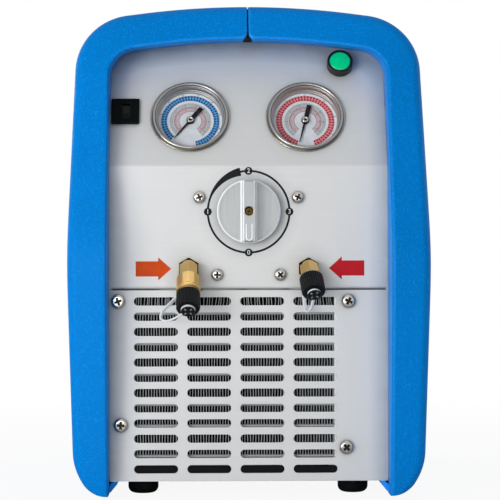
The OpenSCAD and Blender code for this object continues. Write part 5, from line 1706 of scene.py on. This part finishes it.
@dataclass
class Breaker(Assembly):
    """Square circuit breaker with a recessed rocker."""

    x: float = -92.2
    up: float = 45.6
    side: float = 21.0
    barrel: float = 17.6
    barrel_l: float = 24.0
    proud: float = 2.6
    well_z: float = -4.4
    slot_w: float = 2.2
    slot_x: float = -7.4
    slot_d: float = 0.35
    rocker_w: float = 6.2
    rocker_l: float = 11.6
    rocker_x: float = 0.6
    rocker_z: float = -1.4
    crest: float = 1.6
    swing: float = 8.0
    axle_r: float = 1.1
    axle_half: float = 4.4

    def spot(self) -> Matrix:
        """Frame of the breaker on the tilted panel."""
        return self.layout.on_slope(self.x, self.up)

    def surround(self) -> None:
        """Builds the square frame with the well of the rocker."""
        plate = Draft().prism(box_outline(self.side, self.side, 0.8, 4), 0.0, self.proud).soften(0.45, 3)
        barrel = Draft().prism(box_outline(self.barrel, self.barrel, 0.4, 2), -self.barrel_l, 1.0)
        plate.join(barrel, Mix.ADD)
        well = Draft().prism(box_outline(self.rocker_w + 0.6, self.rocker_l + 1, 0.3, 3), self.well_z, 6.0)
        plate.join(well.shift(x=self.rocker_x), Mix.CUT)
        slot = box_outline(self.slot_w, self.side - 5, 1.0, 5)
        cut = Draft().prism(slot, self.proud - self.slot_d, 6.0).shift(x=self.slot_x)
        plate.join(cut, Mix.CUT)
        plate.join(self.seated(self.axle(0.05, 0.2)), Mix.CUT)
        self.put("breaker_surround", plate, BREAKER_BLACK, ["breaker_frame"])

    def axle(self, round_it: float = 0.0, past: float = 0.0) -> Draft:
        """The rocker's axle, with some room round it and past its ends."""
        half = self.axle_half + past
        return Draft().rod(self.axle_r + round_it, -half, half, 24).turn(90, "Y")

    def seated(self, draft: Draft) -> Draft:
        """Moves a draft from the axle to its place in the frame."""
        return draft.shift(self.rocker_x, 0, self.rocker_z)

    def rocker(self) -> None:
        """Builds the rocker with its grip ridges, and a light grey line on it that paints the highlight of
        its edge.
        """
        half, crest = self.rocker_l / 2, self.crest
        end = [(half * 0.45, crest + 0.05), (half - 0.3, crest + 0.8), (half, crest + 0.5)]
        heel = [(half - 0.4, -1), (1.6, -2.4)]
        outline = [*((-y, z) for y, z in reversed(end)), (0, crest - 0.2), *end, *heel,
                   *((-y, z) for y, z in reversed(heel))]
        rocker = Draft().prism(outline, -self.rocker_w / 2, self.rocker_w / 2, "X").soften(0.2, 2)
        for i in range(3):
            ridge = Draft().prism(box_outline(self.rocker_w - 1.6, 0.5, 0.2, 3), crest - 0.6, crest + 1.15)
            rocker.join(ridge.shift(y=-half + 1.2 + i), Mix.ADD)
        rocker.join(self.axle(), Mix.ADD)
        # Light grey line: painted highlight along the edge of the raised half.
        line = Draft().prism(box_outline(self.rocker_w - 0.8, 0.5, 0.2, 3), crest - 0.6, crest + 0.3)
        line.shift(y=-half * 0.4)
        for draft in (rocker, line):
            self.seated(draft.turn(-self.swing, "X"))
        self.put("breaker_rocker_key", rocker, ROCKER_BLACK, ["breaker_rocker"], "breaker_switch")
        self.put("breaker_rocker_highlight", line, SEAL_GREY, body="breaker_switch", slot="black_plastic")

    def build(self) -> None:
        """Builds the frame and the rocker."""
        self.surround()
        self.rocker()


@dataclass
class Selector(Assembly):
    """Selector knob with its raised grip, and the printed scale round it."""

    diameter: float = 47.0
    height: float = 18.5
    grip: float = 12.4
    disc: float = 8.0
    under: float = 0.9
    well: float = 6.0
    well_r: float = 3.35
    stem_d: float = 8.0
    screw_d: float = 6.2
    screw_h: float = 2.0
    recess_h: float = 1.5
    bevel: float = 1.0
    foot_x: float = 5.1
    crest_x: float = 4.6
    crest_h: float = 0.9
    top_x: float = 3.6
    mark_in: float = 4.2
    mark_l: float = 10.0
    ring_r: float = 30.3
    ring_w: float = 1.5
    spot_r: float = 2.9
    spots: Sequence[tuple[str, float]] = (("0", 0.0), ("1", 90.0), ("2", 180.0), ("3", 270.0))

    def spot(self) -> Matrix:
        """Frame of the selector on the upright panel."""
        return self.layout.on_front(0, self.layout.knob_z)

    def knob(self) -> None:
        """Builds the knob: a disc, a tapered bar, a pointer groove and the well of its screw."""
        r, h, d = self.diameter / 2, self.height, self.disc
        disc = [(0, self.under), (r - 0.9, self.under), *arc((r - 0.9, self.under + 0.9), 0.9, -90, 0, 5),
                (r, d - self.bevel), (r - self.bevel, d), (r - 2.4, d), (r - 2.6, d - 0.15), (0, d - 0.15)]
        knob = Draft().lathe(disc, 128)
        side = [(self.foot_x, d - 1), (self.crest_x, h - self.crest_h), (self.top_x, h)]
        bar = Draft().prism(side + [(-x, z) for x, z in reversed(side)], -r, r, "Y")
        trim = Draft().lathe([(0, 0), (r - 0.2, 0), (r - 0.6, h - 2), *arc((r - 2.4, h - 1.6), 1.6, 0, 90, 6),
                              (0, h)], 128)
        knob.join(bar.join(trim, Mix.KEEP), Mix.ADD)
        floor, w, s = h - self.well, self.well_r, self.stem_d / 2 + 0.05
        holes = Draft().lathe([(0, floor), (w, floor), (w, h - 0.5), (w + 0.5, h + 0.02), (w + 0.5, h + 5),
                               (0, h + 5)], 48)
        knob.join(holes, Mix.CUT)
        bore = [(0, -5), (s, -5), (s, d + 1), (1.7, d + 1), (1.7, floor + 1), (0, floor + 1)]
        knob.join(Draft().lathe(bore, 48), Mix.CUT)
        knob.join(Draft().prism(self.pointer(2.5, 1.7), h - 0.6, h + 2), Mix.CUT)
        self.put("selector_knob", knob, KNOB_GREY, ["knob"], "selector")
        screw = Fasteners.screw(self.screw_d, self.screw_h, 3.0, 10.0).shift(z=floor)
        self.put("selector_screw", screw, AGED_BRASS, ["knob_screw"], "selector")
        # A dark cross fills most of the screw's recess as painted shade.
        recess = Fasteners.cross(self.screw_d, self.screw_h, Fasteners.recess_fit, self.recess_h)
        recess.shift(z=floor)
        self.put("selector_screw_recess", recess, RECESS_SHADE, ["knob_screw"], "selector", slot="brass")
        profile = [(2.95, floor + 2.2), (3.3, floor + 2.2), (3.3, h - 0.9), (3.2, h - 0.8), (2.95, h - 0.9)]
        lining = Draft().lathe(profile, 48, loop=True)
        self.put("selector_well_lining", lining, AGED_BRASS, ["knob_screw"], "selector")

    def pointer(self, outer: float, inner: float) -> list[Pair]:
        """Outline of the pointer mark on the bar, round at its outer end.

        Args:
            outer: outer radius of the round.
            inner: its inner radius.

        Returns:
            The closed outline.
        """
        y = self.mark_in - self.diameter / 2
        end = y + self.mark_l
        return [*arc((0, y), outer, 180, 360, 12), (outer, end), (inner, end),
                *arc((0, y), inner, 360, 180, 12), (-inner, end), (-outer, end)]

    def cut_edge_highlights(self) -> None:
        """Builds the cut edges as a white painted highlight: ribs along the bar's foot and crest, and the
        bevel of the disc.
        """
        r, d, h, out, skin = self.diameter / 2, self.disc, self.height, 0.06, 0.3
        root, g, low = self.foot_x - 0.3, self.grip / 2, self.height - self.crest_h
        rib = [(root, d - 0.4), (g, d - 0.4), (g, d + 0.2), (g - 0.25, d + 0.45), (root, d + 0.45)]
        crest = [(self.crest_x + out, low + out * 0.5), (self.top_x + out, h + out),
                 (self.top_x - skin, h - skin), (self.crest_x - skin, low)]
        edges = Draft()
        for side in Side:
            for section in (rib, crest):
                edges.prism([(side.value * x, z) for x, z in section], -r, r, "Y")
        trim = Draft().lathe([(0, 0), (r - 0.5, 0), (r - 0.9, h + 1), (0, h + 1)], 128)
        edges.join(trim, Mix.KEEP)
        edges.join(Draft().prism(self.pointer(2.45, 1.75), h - 0.55, h + 0.05), Mix.ADD)
        k, b = out * 0.7, self.bevel
        bevel = [(r + k, d - b + k), (r - b + k, d + k), (r - b - skin, d - skin), (r - skin, d - b - skin)]
        edges.join(Draft().lathe(bevel, 128, loop=True), Mix.ADD)
        # The white finish paints the cut edges' highlight.
        self.put("selector_cut_edges", edges, CUT_EDGE_HIGHLIGHT_WHITE, ["knob"], "selector")

    def scale(self) -> None:
        """Builds the printed ring with its growing wedge, the black spots and their figures."""
        low, high, r, w = PRINT_LOW, 0.07, self.ring_r, self.ring_w / 2
        ring = Draft().band((r - w, r - w), (r + w, r + w), (0, 360), (low, high), 2.0)
        self.put("selector_ring", ring, INK_BLACK)
        wedge = Draft().band((r - w, 27.2), (r + w, 33.4), (112, 168.5), (low, high + 0.02), 2.0)
        self.put("selector_wedge", wedge, INK_BLACK)
        discs, text, top = Draft(), Draft(), high + 0.04
        for figure, angle in self.spots:
            place = moved(*clock(r, angle))
            discs.stamp(Draft().rod(self.spot_r, low, top, 40), place)
            text.stamp(digits(figure, 3.5, (top, high + 0.09)), place)
        self.put("selector_spots", discs, INK_BLACK)
        self.put("selector_figures", text, INK_WHITE)

    def build(self) -> None:
        """Builds the knob and its scale."""
        self.knob()
        self.cut_edge_highlights()
        self.scale()


@dataclass
class FlowArrows(Assembly):
    """Printed flow arrows beside the ports, without words."""

    body_h: float = 11.2
    head_h: float = 17.0
    length: float = 26.3
    head_l: float = 9.6
    inlet_tip: Pair = (-57.5, -0.1)
    outlet_tip: Pair = (59.5, 0.3)

    def build(self) -> None:
        """Prints both arrows on the control panel."""
        b, h, neck, end = self.body_h / 2, self.head_h / 2, -self.head_l, -self.length
        outline = [(0, 0), (neck, h), (neck, b), (end, b), (end, -b), (neck, -b), (neck, -h)]
        arrow = Draft().prism(outline, PRINT_LOW, 0.07)
        for name, (x, z), turn, finish in (("inlet", self.inlet_tip, 0, INK_ORANGE),
                                           ("outlet", self.outlet_tip, 180, INK_RED)):
            spot = self.layout.on_front(x, self.layout.port_z + z) @ turned(turn, "Z")
            self.put(f"{name}_arrow", arrow, finish, spot=spot)


@dataclass
class Port(Assembly):
    """A brass port with its hexagons, knurled dust cap and moulded strap."""

    name: str
    x: float
    clock_angle: float
    hex_l: float
    body: str
    route: Points
    eye_w: float
    filter_l: float = 0.0
    filter_d: float = 17.8
    collar_r: float = 8.9
    collar_l: float = 2.2
    hex_d: float = 14.8
    hex_back: float = 1.5
    ball_r: float = 6.4
    stub_r: float = 5.8
    neck: float = 2.0
    flare_d: float = 11.1
    thread: float = 0.45
    thread_pitch: float = 0.55
    cap_d: float = 17.5
    cap_l: float = 14.4
    cone: float = 0.6
    ring_t: float = 2.0
    head_d: float = 10.4
    head_t: float = 0.9
    post_r: float = 3.5
    ribs: int = 30
    split: float = 1.6
    hole_r: float = 8.4

    @property
    def seat(self) -> float:
        """Where the cap starts along the axis."""
        return self.hex_l + self.filter_l + self.neck

    def spot(self) -> Matrix:
        """Frame of the port."""
        return self.layout.at_port(self.x, self.clock_angle)

    @staticmethod
    def hexagon(across: float, length: float, turn: float, sides: int = 6) -> Draft:
        """A hexagon, or another regular prism, with turned ends.

        Args:
            across: size across the corners.
            length: its length.
            turn: turn about its axis, in degrees.
            sides: how many flats it has.

        Returns:
            The draft from z = 0.
        """
        r, c = across / 2, 1.1
        angles = [TAU * i / sides + math.radians(turn) for i in range(sides)]
        flats = Draft().prism([(r * math.cos(a), r * math.sin(a)) for a in angles], 0, length)
        profile = [(0, 0), (r - c, 0), (r, c * 0.6), (r, length - c * 0.6), (r - c, length), (0, length)]
        return flats.join(Draft().lathe(profile, 96), Mix.KEEP)

    def fitting(self) -> None:
        """Builds the elbow, its stub through the panel, and the flare end."""
        at = self.layout
        elbow = self.hexagon(self.hex_d, self.hex_l + self.hex_back, 30).shift(z=-self.hex_back)
        turns = spread(-math.pi / 2, math.pi / 2, 24)
        ball = [(max(0.0, self.ball_r * math.cos(t)), self.ball_r * math.sin(t)) for t in turns]
        elbow.join(Draft().lathe(ball, 64), Mix.ADD)
        stub = Draft().rod(self.stub_r, 0, at.port_out + 1.2, 64)
        root = at.level(self.x, at.panel_y - at.port_out, at.port_z)
        elbow.join(Draft().stamp(stub, self.spot().inverted() @ root @ turned(-90, "X")), Mix.ADD)
        r, top = self.flare_d / 2, self.neck + self.cap_l - 3.2
        thread = [(r - (0.0 if k % 2 else self.thread), 0.6 + k * self.thread_pitch) for k in range(18)]
        flare = Draft().lathe([(0, -1), (r, -1), *thread, (r - 1.6, top), (0, top)], 64)
        flare.shift(z=self.seat - self.neck)
        if self.filter_l:
            r, length = self.collar_r, self.collar_l
            body = self.hexagon(self.filter_d, self.filter_l - length, 0, 12).shift(z=self.hex_l)
            collar = Draft().lathe([(0, 0), (r - 0.7, 0), (r, 0.5), (r, length - 0.5), (r - 0.7, length),
                                    (0, length)], 96)
            body.join(collar.shift(z=self.hex_l + self.filter_l - length), Mix.ADD).join(flare, Mix.ADD)
        else:
            elbow.join(flare, Mix.ADD)
        self.put(f"{self.name}_elbow_hex", elbow, BRASS, [f"{self.name}_elbow"])
        if self.filter_l:
            self.put(f"{self.name}_filter_body", body, BRASS, [f"{self.name}_filter"])

    def knurl(self) -> Draft:
        """The cap's ribbed barrel with eased ends.

        Returns:
            The draft.
        """
        r, n, top = self.cap_d / 2, self.ribs, self.cap_l
        outline = []
        for i in range(n):
            for share, depth in ((0.0, 0.45), (0.2, 0.12), (0.35, 0.0), (0.65, 0.0), (0.8, 0.12)):
                a = TAU * (i + share) / n
                outline.append(((r - depth) * math.cos(a), (r - depth) * math.sin(a)))
        ends = ((0.0, 0.955), (0.25, 0.985), (0.6, 1.0), (top - 1.0, 1.0), (top - 0.4, 0.985), (top, 0.955))
        return Draft().loft([[(x * k, y * k, z) for x, y in outline] for z, k in ends])

    def cap(self) -> None:
        """Builds the knurled dust cap with the split head that holds the strap, and grey rays in the split as
        painted glints.
        """
        r, top, head_r, post = self.cap_d / 2 - 0.9, self.cap_l, self.head_d / 2, self.post_r
        ring_z = top + self.cone
        head_z, bore = ring_z + self.ring_t, self.flare_d / 2 + 0.05
        split_z, tip_z, high = head_z + self.head_t / 2, head_z + self.head_t, head_z + 3
        tip = Draft().lathe([(0, top - 2), (r, top - 2), (r, top + 0.1), (head_r + 0.9, ring_z - 0.15),
                             (head_r + 0.5, ring_z), (post, ring_z), (post, head_z), (head_r - 0.3, head_z),
                             (head_r, head_z + 0.3), (head_r - 0.5, tip_z), (0, tip_z)], 72)
        cap = self.knurl().join(tip, Mix.ADD).join(Draft().rod(bore, -5, top - 1.5, 64), Mix.CUT)
        for a in (45, 135):
            split = Draft().prism(box_outline(2 * self.head_d, self.split, 0.2, 2), split_z, high)
            cap.join(split.turn(a, "Z"), Mix.CUT)
        dimple = Draft().lathe([(0, head_z + 0.3), (1.6, head_z + 0.3), (1.9, high), (0, high)], 32)
        cap.join(dimple, Mix.CUT)
        nodes, star = [f"{self.name}_cap"], Draft()
        self.put(f"{self.name}_cap_knurled", cap.shift(z=self.seat), BLACK, nodes, self.body)
        # Grey rays in the split paint the glints of the glossy head.
        for a in (45, 135, 225, 315):
            ray = Draft().prism(box_outline(self.split, 1.3, 0.3, 3), head_z + 0.2, split_z + 0.12)
            star.stamp(ray.shift(x=2.9), turned(a, "Z"))
        self.put(f"{self.name}_cap_star", star.shift(z=self.seat), CAP_GLINT_GREY, nodes, self.body)

    def strap(self) -> None:
        """Builds the moulded strap: a ring round the neck, a band, and a ring under the cap's head."""
        gap, r, ring_z = 0.3, self.flare_d / 2, self.seat + self.cap_l + self.cone
        made = Draft().collar(r + 0.2, r + 1.25, (0.0, self.neck - gap), 72).shift(z=self.seat - self.neck)
        eye = Draft().collar(self.post_r + gap, self.post_r + self.eye_w, (gap, self.ring_t - gap), 56)
        made.join(eye.shift(z=ring_z), Mix.ADD)
        route = [p + Vector((0, 0, self.seat)) for p in smooth(self.route)]
        band = Draft().sweep(route, box_outline(1.3, 2.7, 0.5, 4), (0, 0, 1))
        self.put(f"{self.name}_cap_strap", made.join(band, Mix.ADD), STRAP_WHITE, [f"{self.name}_tether"])

    def gasket(self) -> None:
        """Builds the rubber gasket that fills the hexagonal hole round the stub."""
        hole = [clock(self.hole_r - 0.15, 60 * i) for i in range(6)]
        ring = Draft().prism(hole, -1.15, 0.35).soften(0.15, 2)
        ring.join(Draft().rod(self.stub_r + 0.1, -5, 5, 48), Mix.CUT)
        self.put(f"{self.name}_gasket", ring, RUBBER, spot=self.layout.on_front(self.x, self.layout.port_z))

    def build(self) -> None:
        """Builds the whole port."""
        self.gasket()
        self.fitting()
        self.cap()
        self.strap()


@dataclass
class Condenser(Assembly):
    """Condenser behind the grille: flat tubes, upright fins and the jogged bracket at its right end."""

    fin_pitch: float = 2.05
    fin_t: float = 0.38
    fin_d: float = 7.6
    tube_w: float = 3.0
    tube_h: float = 2.0
    tubes: Sequence[float] = (137.3, 114.7, 92.1, 69.5, 53.6, 31.2)
    upset_z: float = 138.5
    jog: float = 2.4
    jog_d: float = 11.7
    notch_h: float = 10.0
    sheet: float = 1.2

    def fin(self, i: int, z: float) -> float:
        """How far a fin stands off its straight line, with the top row bent by hand.

        Args:
            i: number of the fin.
            z: the height.

        Returns:
            The distance.
        """
        sway = 0.14 * math.sin(0.31 * z + 0.37 * i) + 0.1 * math.sin(0.8 * z + 1.9 * i)
        bent = max(0.0, min(1.0, (z - self.upset_z) / 10))
        return sway + bent * (1.3 * math.sin(0.23 * i + 0.6) + 0.6 * math.sin(1.7 * i))

    def core(self, low: Vector, high: Vector) -> None:
        """Builds fins, tubes, the left end plate, and a dark plate behind them as painted shade of the core's
        depth.

        Args:
            low: lowest corner of the core's solid.
            high: its highest corner.
        """
        nodes, fins, tubes = ["condenser_core"], Draft(), Draft()
        right, back, t = high.x + self.jog - 0.1, low.y + self.fin_d, self.fin_t / 2
        count = int((right - low.x - 2.0) / self.fin_pitch)
        start = right - 0.6 - count * self.fin_pitch
        for i in range(count + 1):
            rings = []
            for z in spread(low.z, high.z, 24):
                x = min(right - 0.3, start + i * self.fin_pitch + self.fin(i, z))
                rings.append([(x - t, low.y, z), (x + t, low.y, z), (x + t, back, z), (x - t, back, z)])
            fins.loft(rings)
        self.put("condenser_fins", fins, FIN_ALLOY, nodes, sharp=60)
        for z in self.tubes:
            section = [(low.y + 1.9 + u, z + v) for u, v in box_outline(self.tube_w, self.tube_h, 0.9, 4)]
            tubes.prism(section, low.x + 0.5, right, "X")
        inside = low.x + self.sheet
        tubes.prism([(low.x, low.z), (inside, low.z), (inside, high.z), (low.x, high.z)], low.y, high.y, "Y")
        self.put("condenser_tubes", tubes, FIN_ALLOY, nodes)
        ribs = [(inside + 0.1, back)]
        for i in range(count - 1):
            x = start + (i + 0.5) * self.fin_pitch
            ribs += [(x - 0.5, back - 0.4), (x + 0.5, back - 0.4), (x + 0.6, back)]
        ribs += [(right, back), (right, back + 0.4), (high.x - 0.05, back + 0.4), (high.x - 0.05, high.y),
                 (inside + 0.1, high.y)]
        # Dark ribbed plate behind the fins: painted shade of the deep core.
        depth = Draft().prism(ribs, low.z + 0.1, high.z - 0.1)
        self.put("condenser_depth_shade", depth, RUBBER, nodes, slot="fin_aluminium")

    def bracket(self, low: Vector, high: Vector) -> None:
        """Builds the right bracket, a sheet with a jog round the end of the fins.

        Args:
            low: lowest corner of the bracket's solid.
            high: its highest corner.
        """
        t, web, jog, turn = self.sheet, low.x, low.x + self.jog, low.y + self.jog_d
        outline = [(high.x, low.y), (high.x, low.y + t), (jog + t, low.y + t), (jog + t, turn + t),
                   (web + t, turn + t), (web + t, high.y), (web, high.y), (web, turn), (jog, turn),
                   (jog, low.y)]
        x0, x1, y0, y1 = web - 1, high.x + 1, low.y - 1, low.y + t + 0.5
        notch = Draft().prism([(x0, y0), (x1, y0), (x1, y1), (x0, y1)], low.z - 1, low.z + self.notch_h)
        plate = Draft().prism(outline, low.z, high.z).join(notch, Mix.CUT)
        self.put("right_bracket_plate", plate, ZINC, ["right_bracket"])

    def build(self) -> None:
        """Builds the core and its bracket where their solids are."""
        self.core(*(Vector(c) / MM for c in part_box("condenser_core")))
        self.bracket(*(Vector(c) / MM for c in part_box("right_bracket")))


@dataclass
class JointSeal(Assembly):
    """Foam strip behind the joint of the two front panels, and dark tape on the edge of the tray."""

    half_l: float = 101.5
    thick: float = 3.0
    height: float = 4.6
    ease: float = 0.5
    behind: float = 1.5
    tray_x: float = -9.8
    tray_half: float = 80.0
    tray_z: float = 20.8
    tray_h: float = 7.6
    tape_y: float = 1.25
    tape_t: float = 0.15

    def build(self) -> None:
        """Builds the strip just behind the grille panel, and the tape in the lowest slots."""
        at, e = self.layout, self.ease
        y0, z1 = at.panel_y + self.behind, at.joint_z - 0.15
        y1, z0 = y0 + self.thick, z1 - self.height
        section = [(y0, z0), (y0, z1 - e), (y0 + e, z1), (y1 - e, z1), (y1, z1 - e), (y1, z0 + e),
                   (y1 - e, z0)]
        self.put("joint_seal_strip", Draft().prism(section, -self.half_l, self.half_l, "X"), SEAL_GREY)
        tray = box_outline(2 * self.tray_half, self.tray_h, 1.5, 4)
        foam = [(x + self.tray_x, z + self.tray_z) for x, z in tray]
        back = at.panel_y + self.tape_y
        self.put("tray_seal_tape", Draft().prism(foam, back - self.tape_t, back, "Y"), RUBBER)


@dataclass
class MainsInlet(Assembly):
    """Mains inlet on the rear panel, with three metal pins."""

    x: float = 56.0
    z: float = 62.0
    flange: Pair = (47, 25)
    barrel: Pair = (28, 21)
    flange_t: float = 3.0
    barrel_l: float = 24.0
    well: Sequence[Pair] = ((12, 8), (12, -4), (8, -8), (-8, -8), (-12, -4), (-12, 8))
    well_d: float = 14.0
    screw_x: float = 20.0
    pin: Pair = (2, 4)
    pin_z: Pair = (-15, -4)
    pin_spots: Sequence[Pair] = ((-7, 2), (0, -2), (7, 2))

    def spot(self) -> Matrix:
        """Frame of the inlet on the rear panel."""
        return self.layout.on_rear(self.x, self.z)

    def build(self) -> None:
        """Builds the moulded socket and its pins."""
        body = Draft().prism(box_outline(*self.flange, 3.2, 6), 0.0, self.flange_t).soften(0.5, 3)
        body.join(Draft().prism(box_outline(*self.barrel, 1.5, 4), -self.barrel_l, 1.0), Mix.ADD)
        body.join(Draft().prism(self.well, -self.well_d, 6).soften(0.6, 2), Mix.CUT)
        for side in Side:
            head = Draft().lathe([(0, 2.6), (2.4, 2.6), (2.4, 3.4), (1.9, 4.0), (0, 4.1)], 32)
            body.join(head.shift(x=side.value * self.screw_x), Mix.ADD)
        self.put("mains_socket", body, BLACK, ["power_inlet"])
        pin = Draft().prism(box_outline(*self.pin, 0.5, 3), *self.pin_z).soften(0.3, 2)
        pins = Draft().stamp(pin, *(moved(x, y) for x, y in self.pin_spots))
        self.put("mains_pins", pins, SCREW_STEEL, ["power_inlet"], slot="black_plastic")


@dataclass(frozen=True)
class Lamp:
    """A soft rectangular lamp, with places and sizes in metres and its power in watts."""

    name: str
    spot: tuple[float, float, float]
    aim: tuple[float, float, float]
    size: Pair
    power: float

    def hang(self) -> None:
        """Hangs the lamp so that it faces its aim."""
        data = bpy.data.lights.new(self.name, "AREA")
        data.shape = "RECTANGLE"
        data.size, data.size_y = self.size
        data.energy = self.power
        lamp = bpy.data.objects.new(self.name, data)
        lamp.location = self.spot
        lamp.rotation_euler = (Vector(self.aim) - Vector(self.spot)).to_track_quat("-Z", "Y").to_euler()
        show(lamp)


@dataclass
class Studio:
    """Camera, plain floor, soft lamps and a white surround."""

    eye: tuple[float, float, float] = (-25.1, -1476.34, 171.73)
    yaw: float = 1.123
    pitch: float = 0.546
    roll: float = -0.12
    focal_px: float = 1791.7
    image_px: float = 500.0
    sensor: float = 36.0
    ambient: float = 0.28
    floor_half: float = 6.0
    lamps: Sequence[Lamp] = (
        Lamp("key_lamp", (-0.9, -1.25, 0.3), (-0.05, 0, 0.2), (0.7, 0.5), 8.6),
        Lamp("front_lamp", (-0.7, -2.5, 0.22), (0, 0, 0.2), (1.6, 0.36), 13.6),
        Lamp("top_lamp", (-0.2, 0.2, 2.2), (0, 0, 0.2), (1.8, 1.8), 5.0),
        Lamp("right_lamp", (2.2, 1.0, 0.8), (0, 0.05, 0.2), (1.4, 1.4), 13.0),
        Lamp("rear_lamp", (-1.9, 1.7, 0.9), (0, 0.05, 0.2), (1.4, 1.4), 15.0))

    def camera(self) -> None:
        """Puts the camera where the photograph was taken."""
        data = bpy.data.cameras.new("photo_camera")
        data.sensor_width = self.sensor
        data.lens = self.focal_px / self.image_px * self.sensor
        data.clip_start = 0.05
        camera = bpy.data.objects.new("photo_camera", data)
        turn = turned(-self.yaw, "Z") @ turned(90 + self.pitch, "X") @ turned(self.roll, "Z")
        camera.matrix_world = Matrix.Translation(Vector(self.eye) * MM) @ turn
        show(camera)
        bpy.context.scene.camera = camera

    def surround(self) -> None:
        """Sets a world that is white to the eye and in reflections, and a soft light otherwise."""
        world = bpy.data.worlds.new("white_room")
        bpy.context.scene.world = world
        w = Wiring.fresh(world)
        path = w.add("ShaderNodeLightPath").outputs
        seen = w.calc("MAXIMUM", path["Is Glossy Ray"], path["Is Transmission Ray"])
        seen = w.calc("MAXIMUM", path["Is Camera Ray"], seen)
        soft, white = (w.add("ShaderNodeBackground", {"Color": WHITE, "Strength": power}).outputs[0]
                       for power in (self.ambient, 1.0))
        mixed = w.add("ShaderNodeMixShader", {0: seen, 1: soft, 2: white})
        w.add("ShaderNodeOutputWorld", {"Surface": mixed.outputs[0]})

    def floor(self) -> None:
        """Lays a plain pale floor that keeps the machine's shadow."""
        mesh, h = bpy.data.meshes.new("studio_floor"), self.floor_half
        mesh.from_pydata([(-h, -h, 0), (h, -h, 0), (h, h, 0), (-h, h, 0)], [], [(0, 1, 2, 3)])
        made = bpy.data.materials.new("pale_floor")
        w = Wiring.fresh(made)
        place = w.add("ShaderNodeTexCoord").outputs["Object"]
        tint = w.blend(w.noise(place, 3.0), (0.9, 0.9, 0.9, 1), (0.94, 0.94, 0.94, 1))
        matte = w.add("ShaderNodeBsdfDiffuse", {"Color": tint}).outputs[0]
        glow = w.add("ShaderNodeEmission", {"Color": WHITE, "Strength": 1.0}).outputs[0]
        away = w.span(w.vector("LENGTH", place).outputs["Value"], 0.2, 0.9, (0.92, 1.0))
        share = w.times(w.add("ShaderNodeLightPath").outputs["Is Camera Ray"], away)
        mixed = w.add("ShaderNodeMixShader", {0: share, 1: matte, 2: glow})
        w.add("ShaderNodeOutputMaterial", {"Surface": mixed.outputs[0]})
        mesh.materials.append(made)
        floor = bpy.data.objects.new("studio_floor", mesh)
        show(floor)

    def build(self) -> None:
        """Builds the whole studio."""
        self.camera()
        self.surround()
        self.floor()
        for lamp in self.lamps:
            lamp.hang()
        bpy.context.scene.view_settings.view_transform = "Standard"


def dress_solids() -> None:
    """Gives each solid that stays in view the finish of its material slot."""
    for part in frame["record"]["subparts"]:
        solid, finish = frame["nodes"][part["node"]], SLOT_FINISHES[part["material_slot"]]
        solid.data.materials.clear()
        solid.data.materials.append(finish.material())
        LOG.info("%s: solid, %s", part["node"], finish.name)


def main() -> None:
    """Builds the machine piece by piece."""
    logging.basicConfig(level=logging.INFO, format="%(name)s %(message)s")
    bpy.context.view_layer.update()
    layout = Layout.measured()
    Studio().build()
    dress_solids()
    shell = CaseShell(layout)
    shell.build()
    Fasteners(layout).build(shell)
    Feet(layout).build()
    Gauge(layout, "low", -43.4, 38.5, (44.0, 346.5), SCALE_BLUE, SCALE_NAVY,
          [str(10 * i) for i in range(11)]).build()
    Gauge(layout, "high", 43.4, 14.0, (20.0, 340.0), SCALE_ROSE, SCALE_CRIMSON,
          [str(5 * i) for i in range(9)]).build()
    for kind in (StartButton, Breaker, Selector, FlowArrows):
        kind(layout).build()
    neck, eye = -1.0, 16.0
    Port(layout, "inlet", -44.5, 0.0, 10.5, "inlet_dust_cap",
         [(-5.2, -3, neck), (-9, -4.6, neck), (-13, -6.5, 3), (-18.5, -9.5, 7), (-20.5, -13, 12),
          (-16.5, -12.5, eye - 0.5), (-10, -9, eye), (-3.6, -3.3, eye)], 1.8, filter_l=13.7).build()
    Port(layout, "outlet", 44.5, 8.0, 8.2, "outlet_dust_cap",
         [(-3.5, -5, neck), (-5.6, -9, neck), (-6.9, -13.5, 3), (-7, -17, 8), (-6.9, -19.5, 14),
          (-5, -17.5, eye + 0.5), (-2.5, -13, eye + 1), (-1.5, -8.5, eye), (-0.5, -4.9, eye)], 1.4).build()
    for kind in (Condenser, JointSeal, MainsInlet):
        kind(layout).build()


if __name__ == "__main__":
    main()
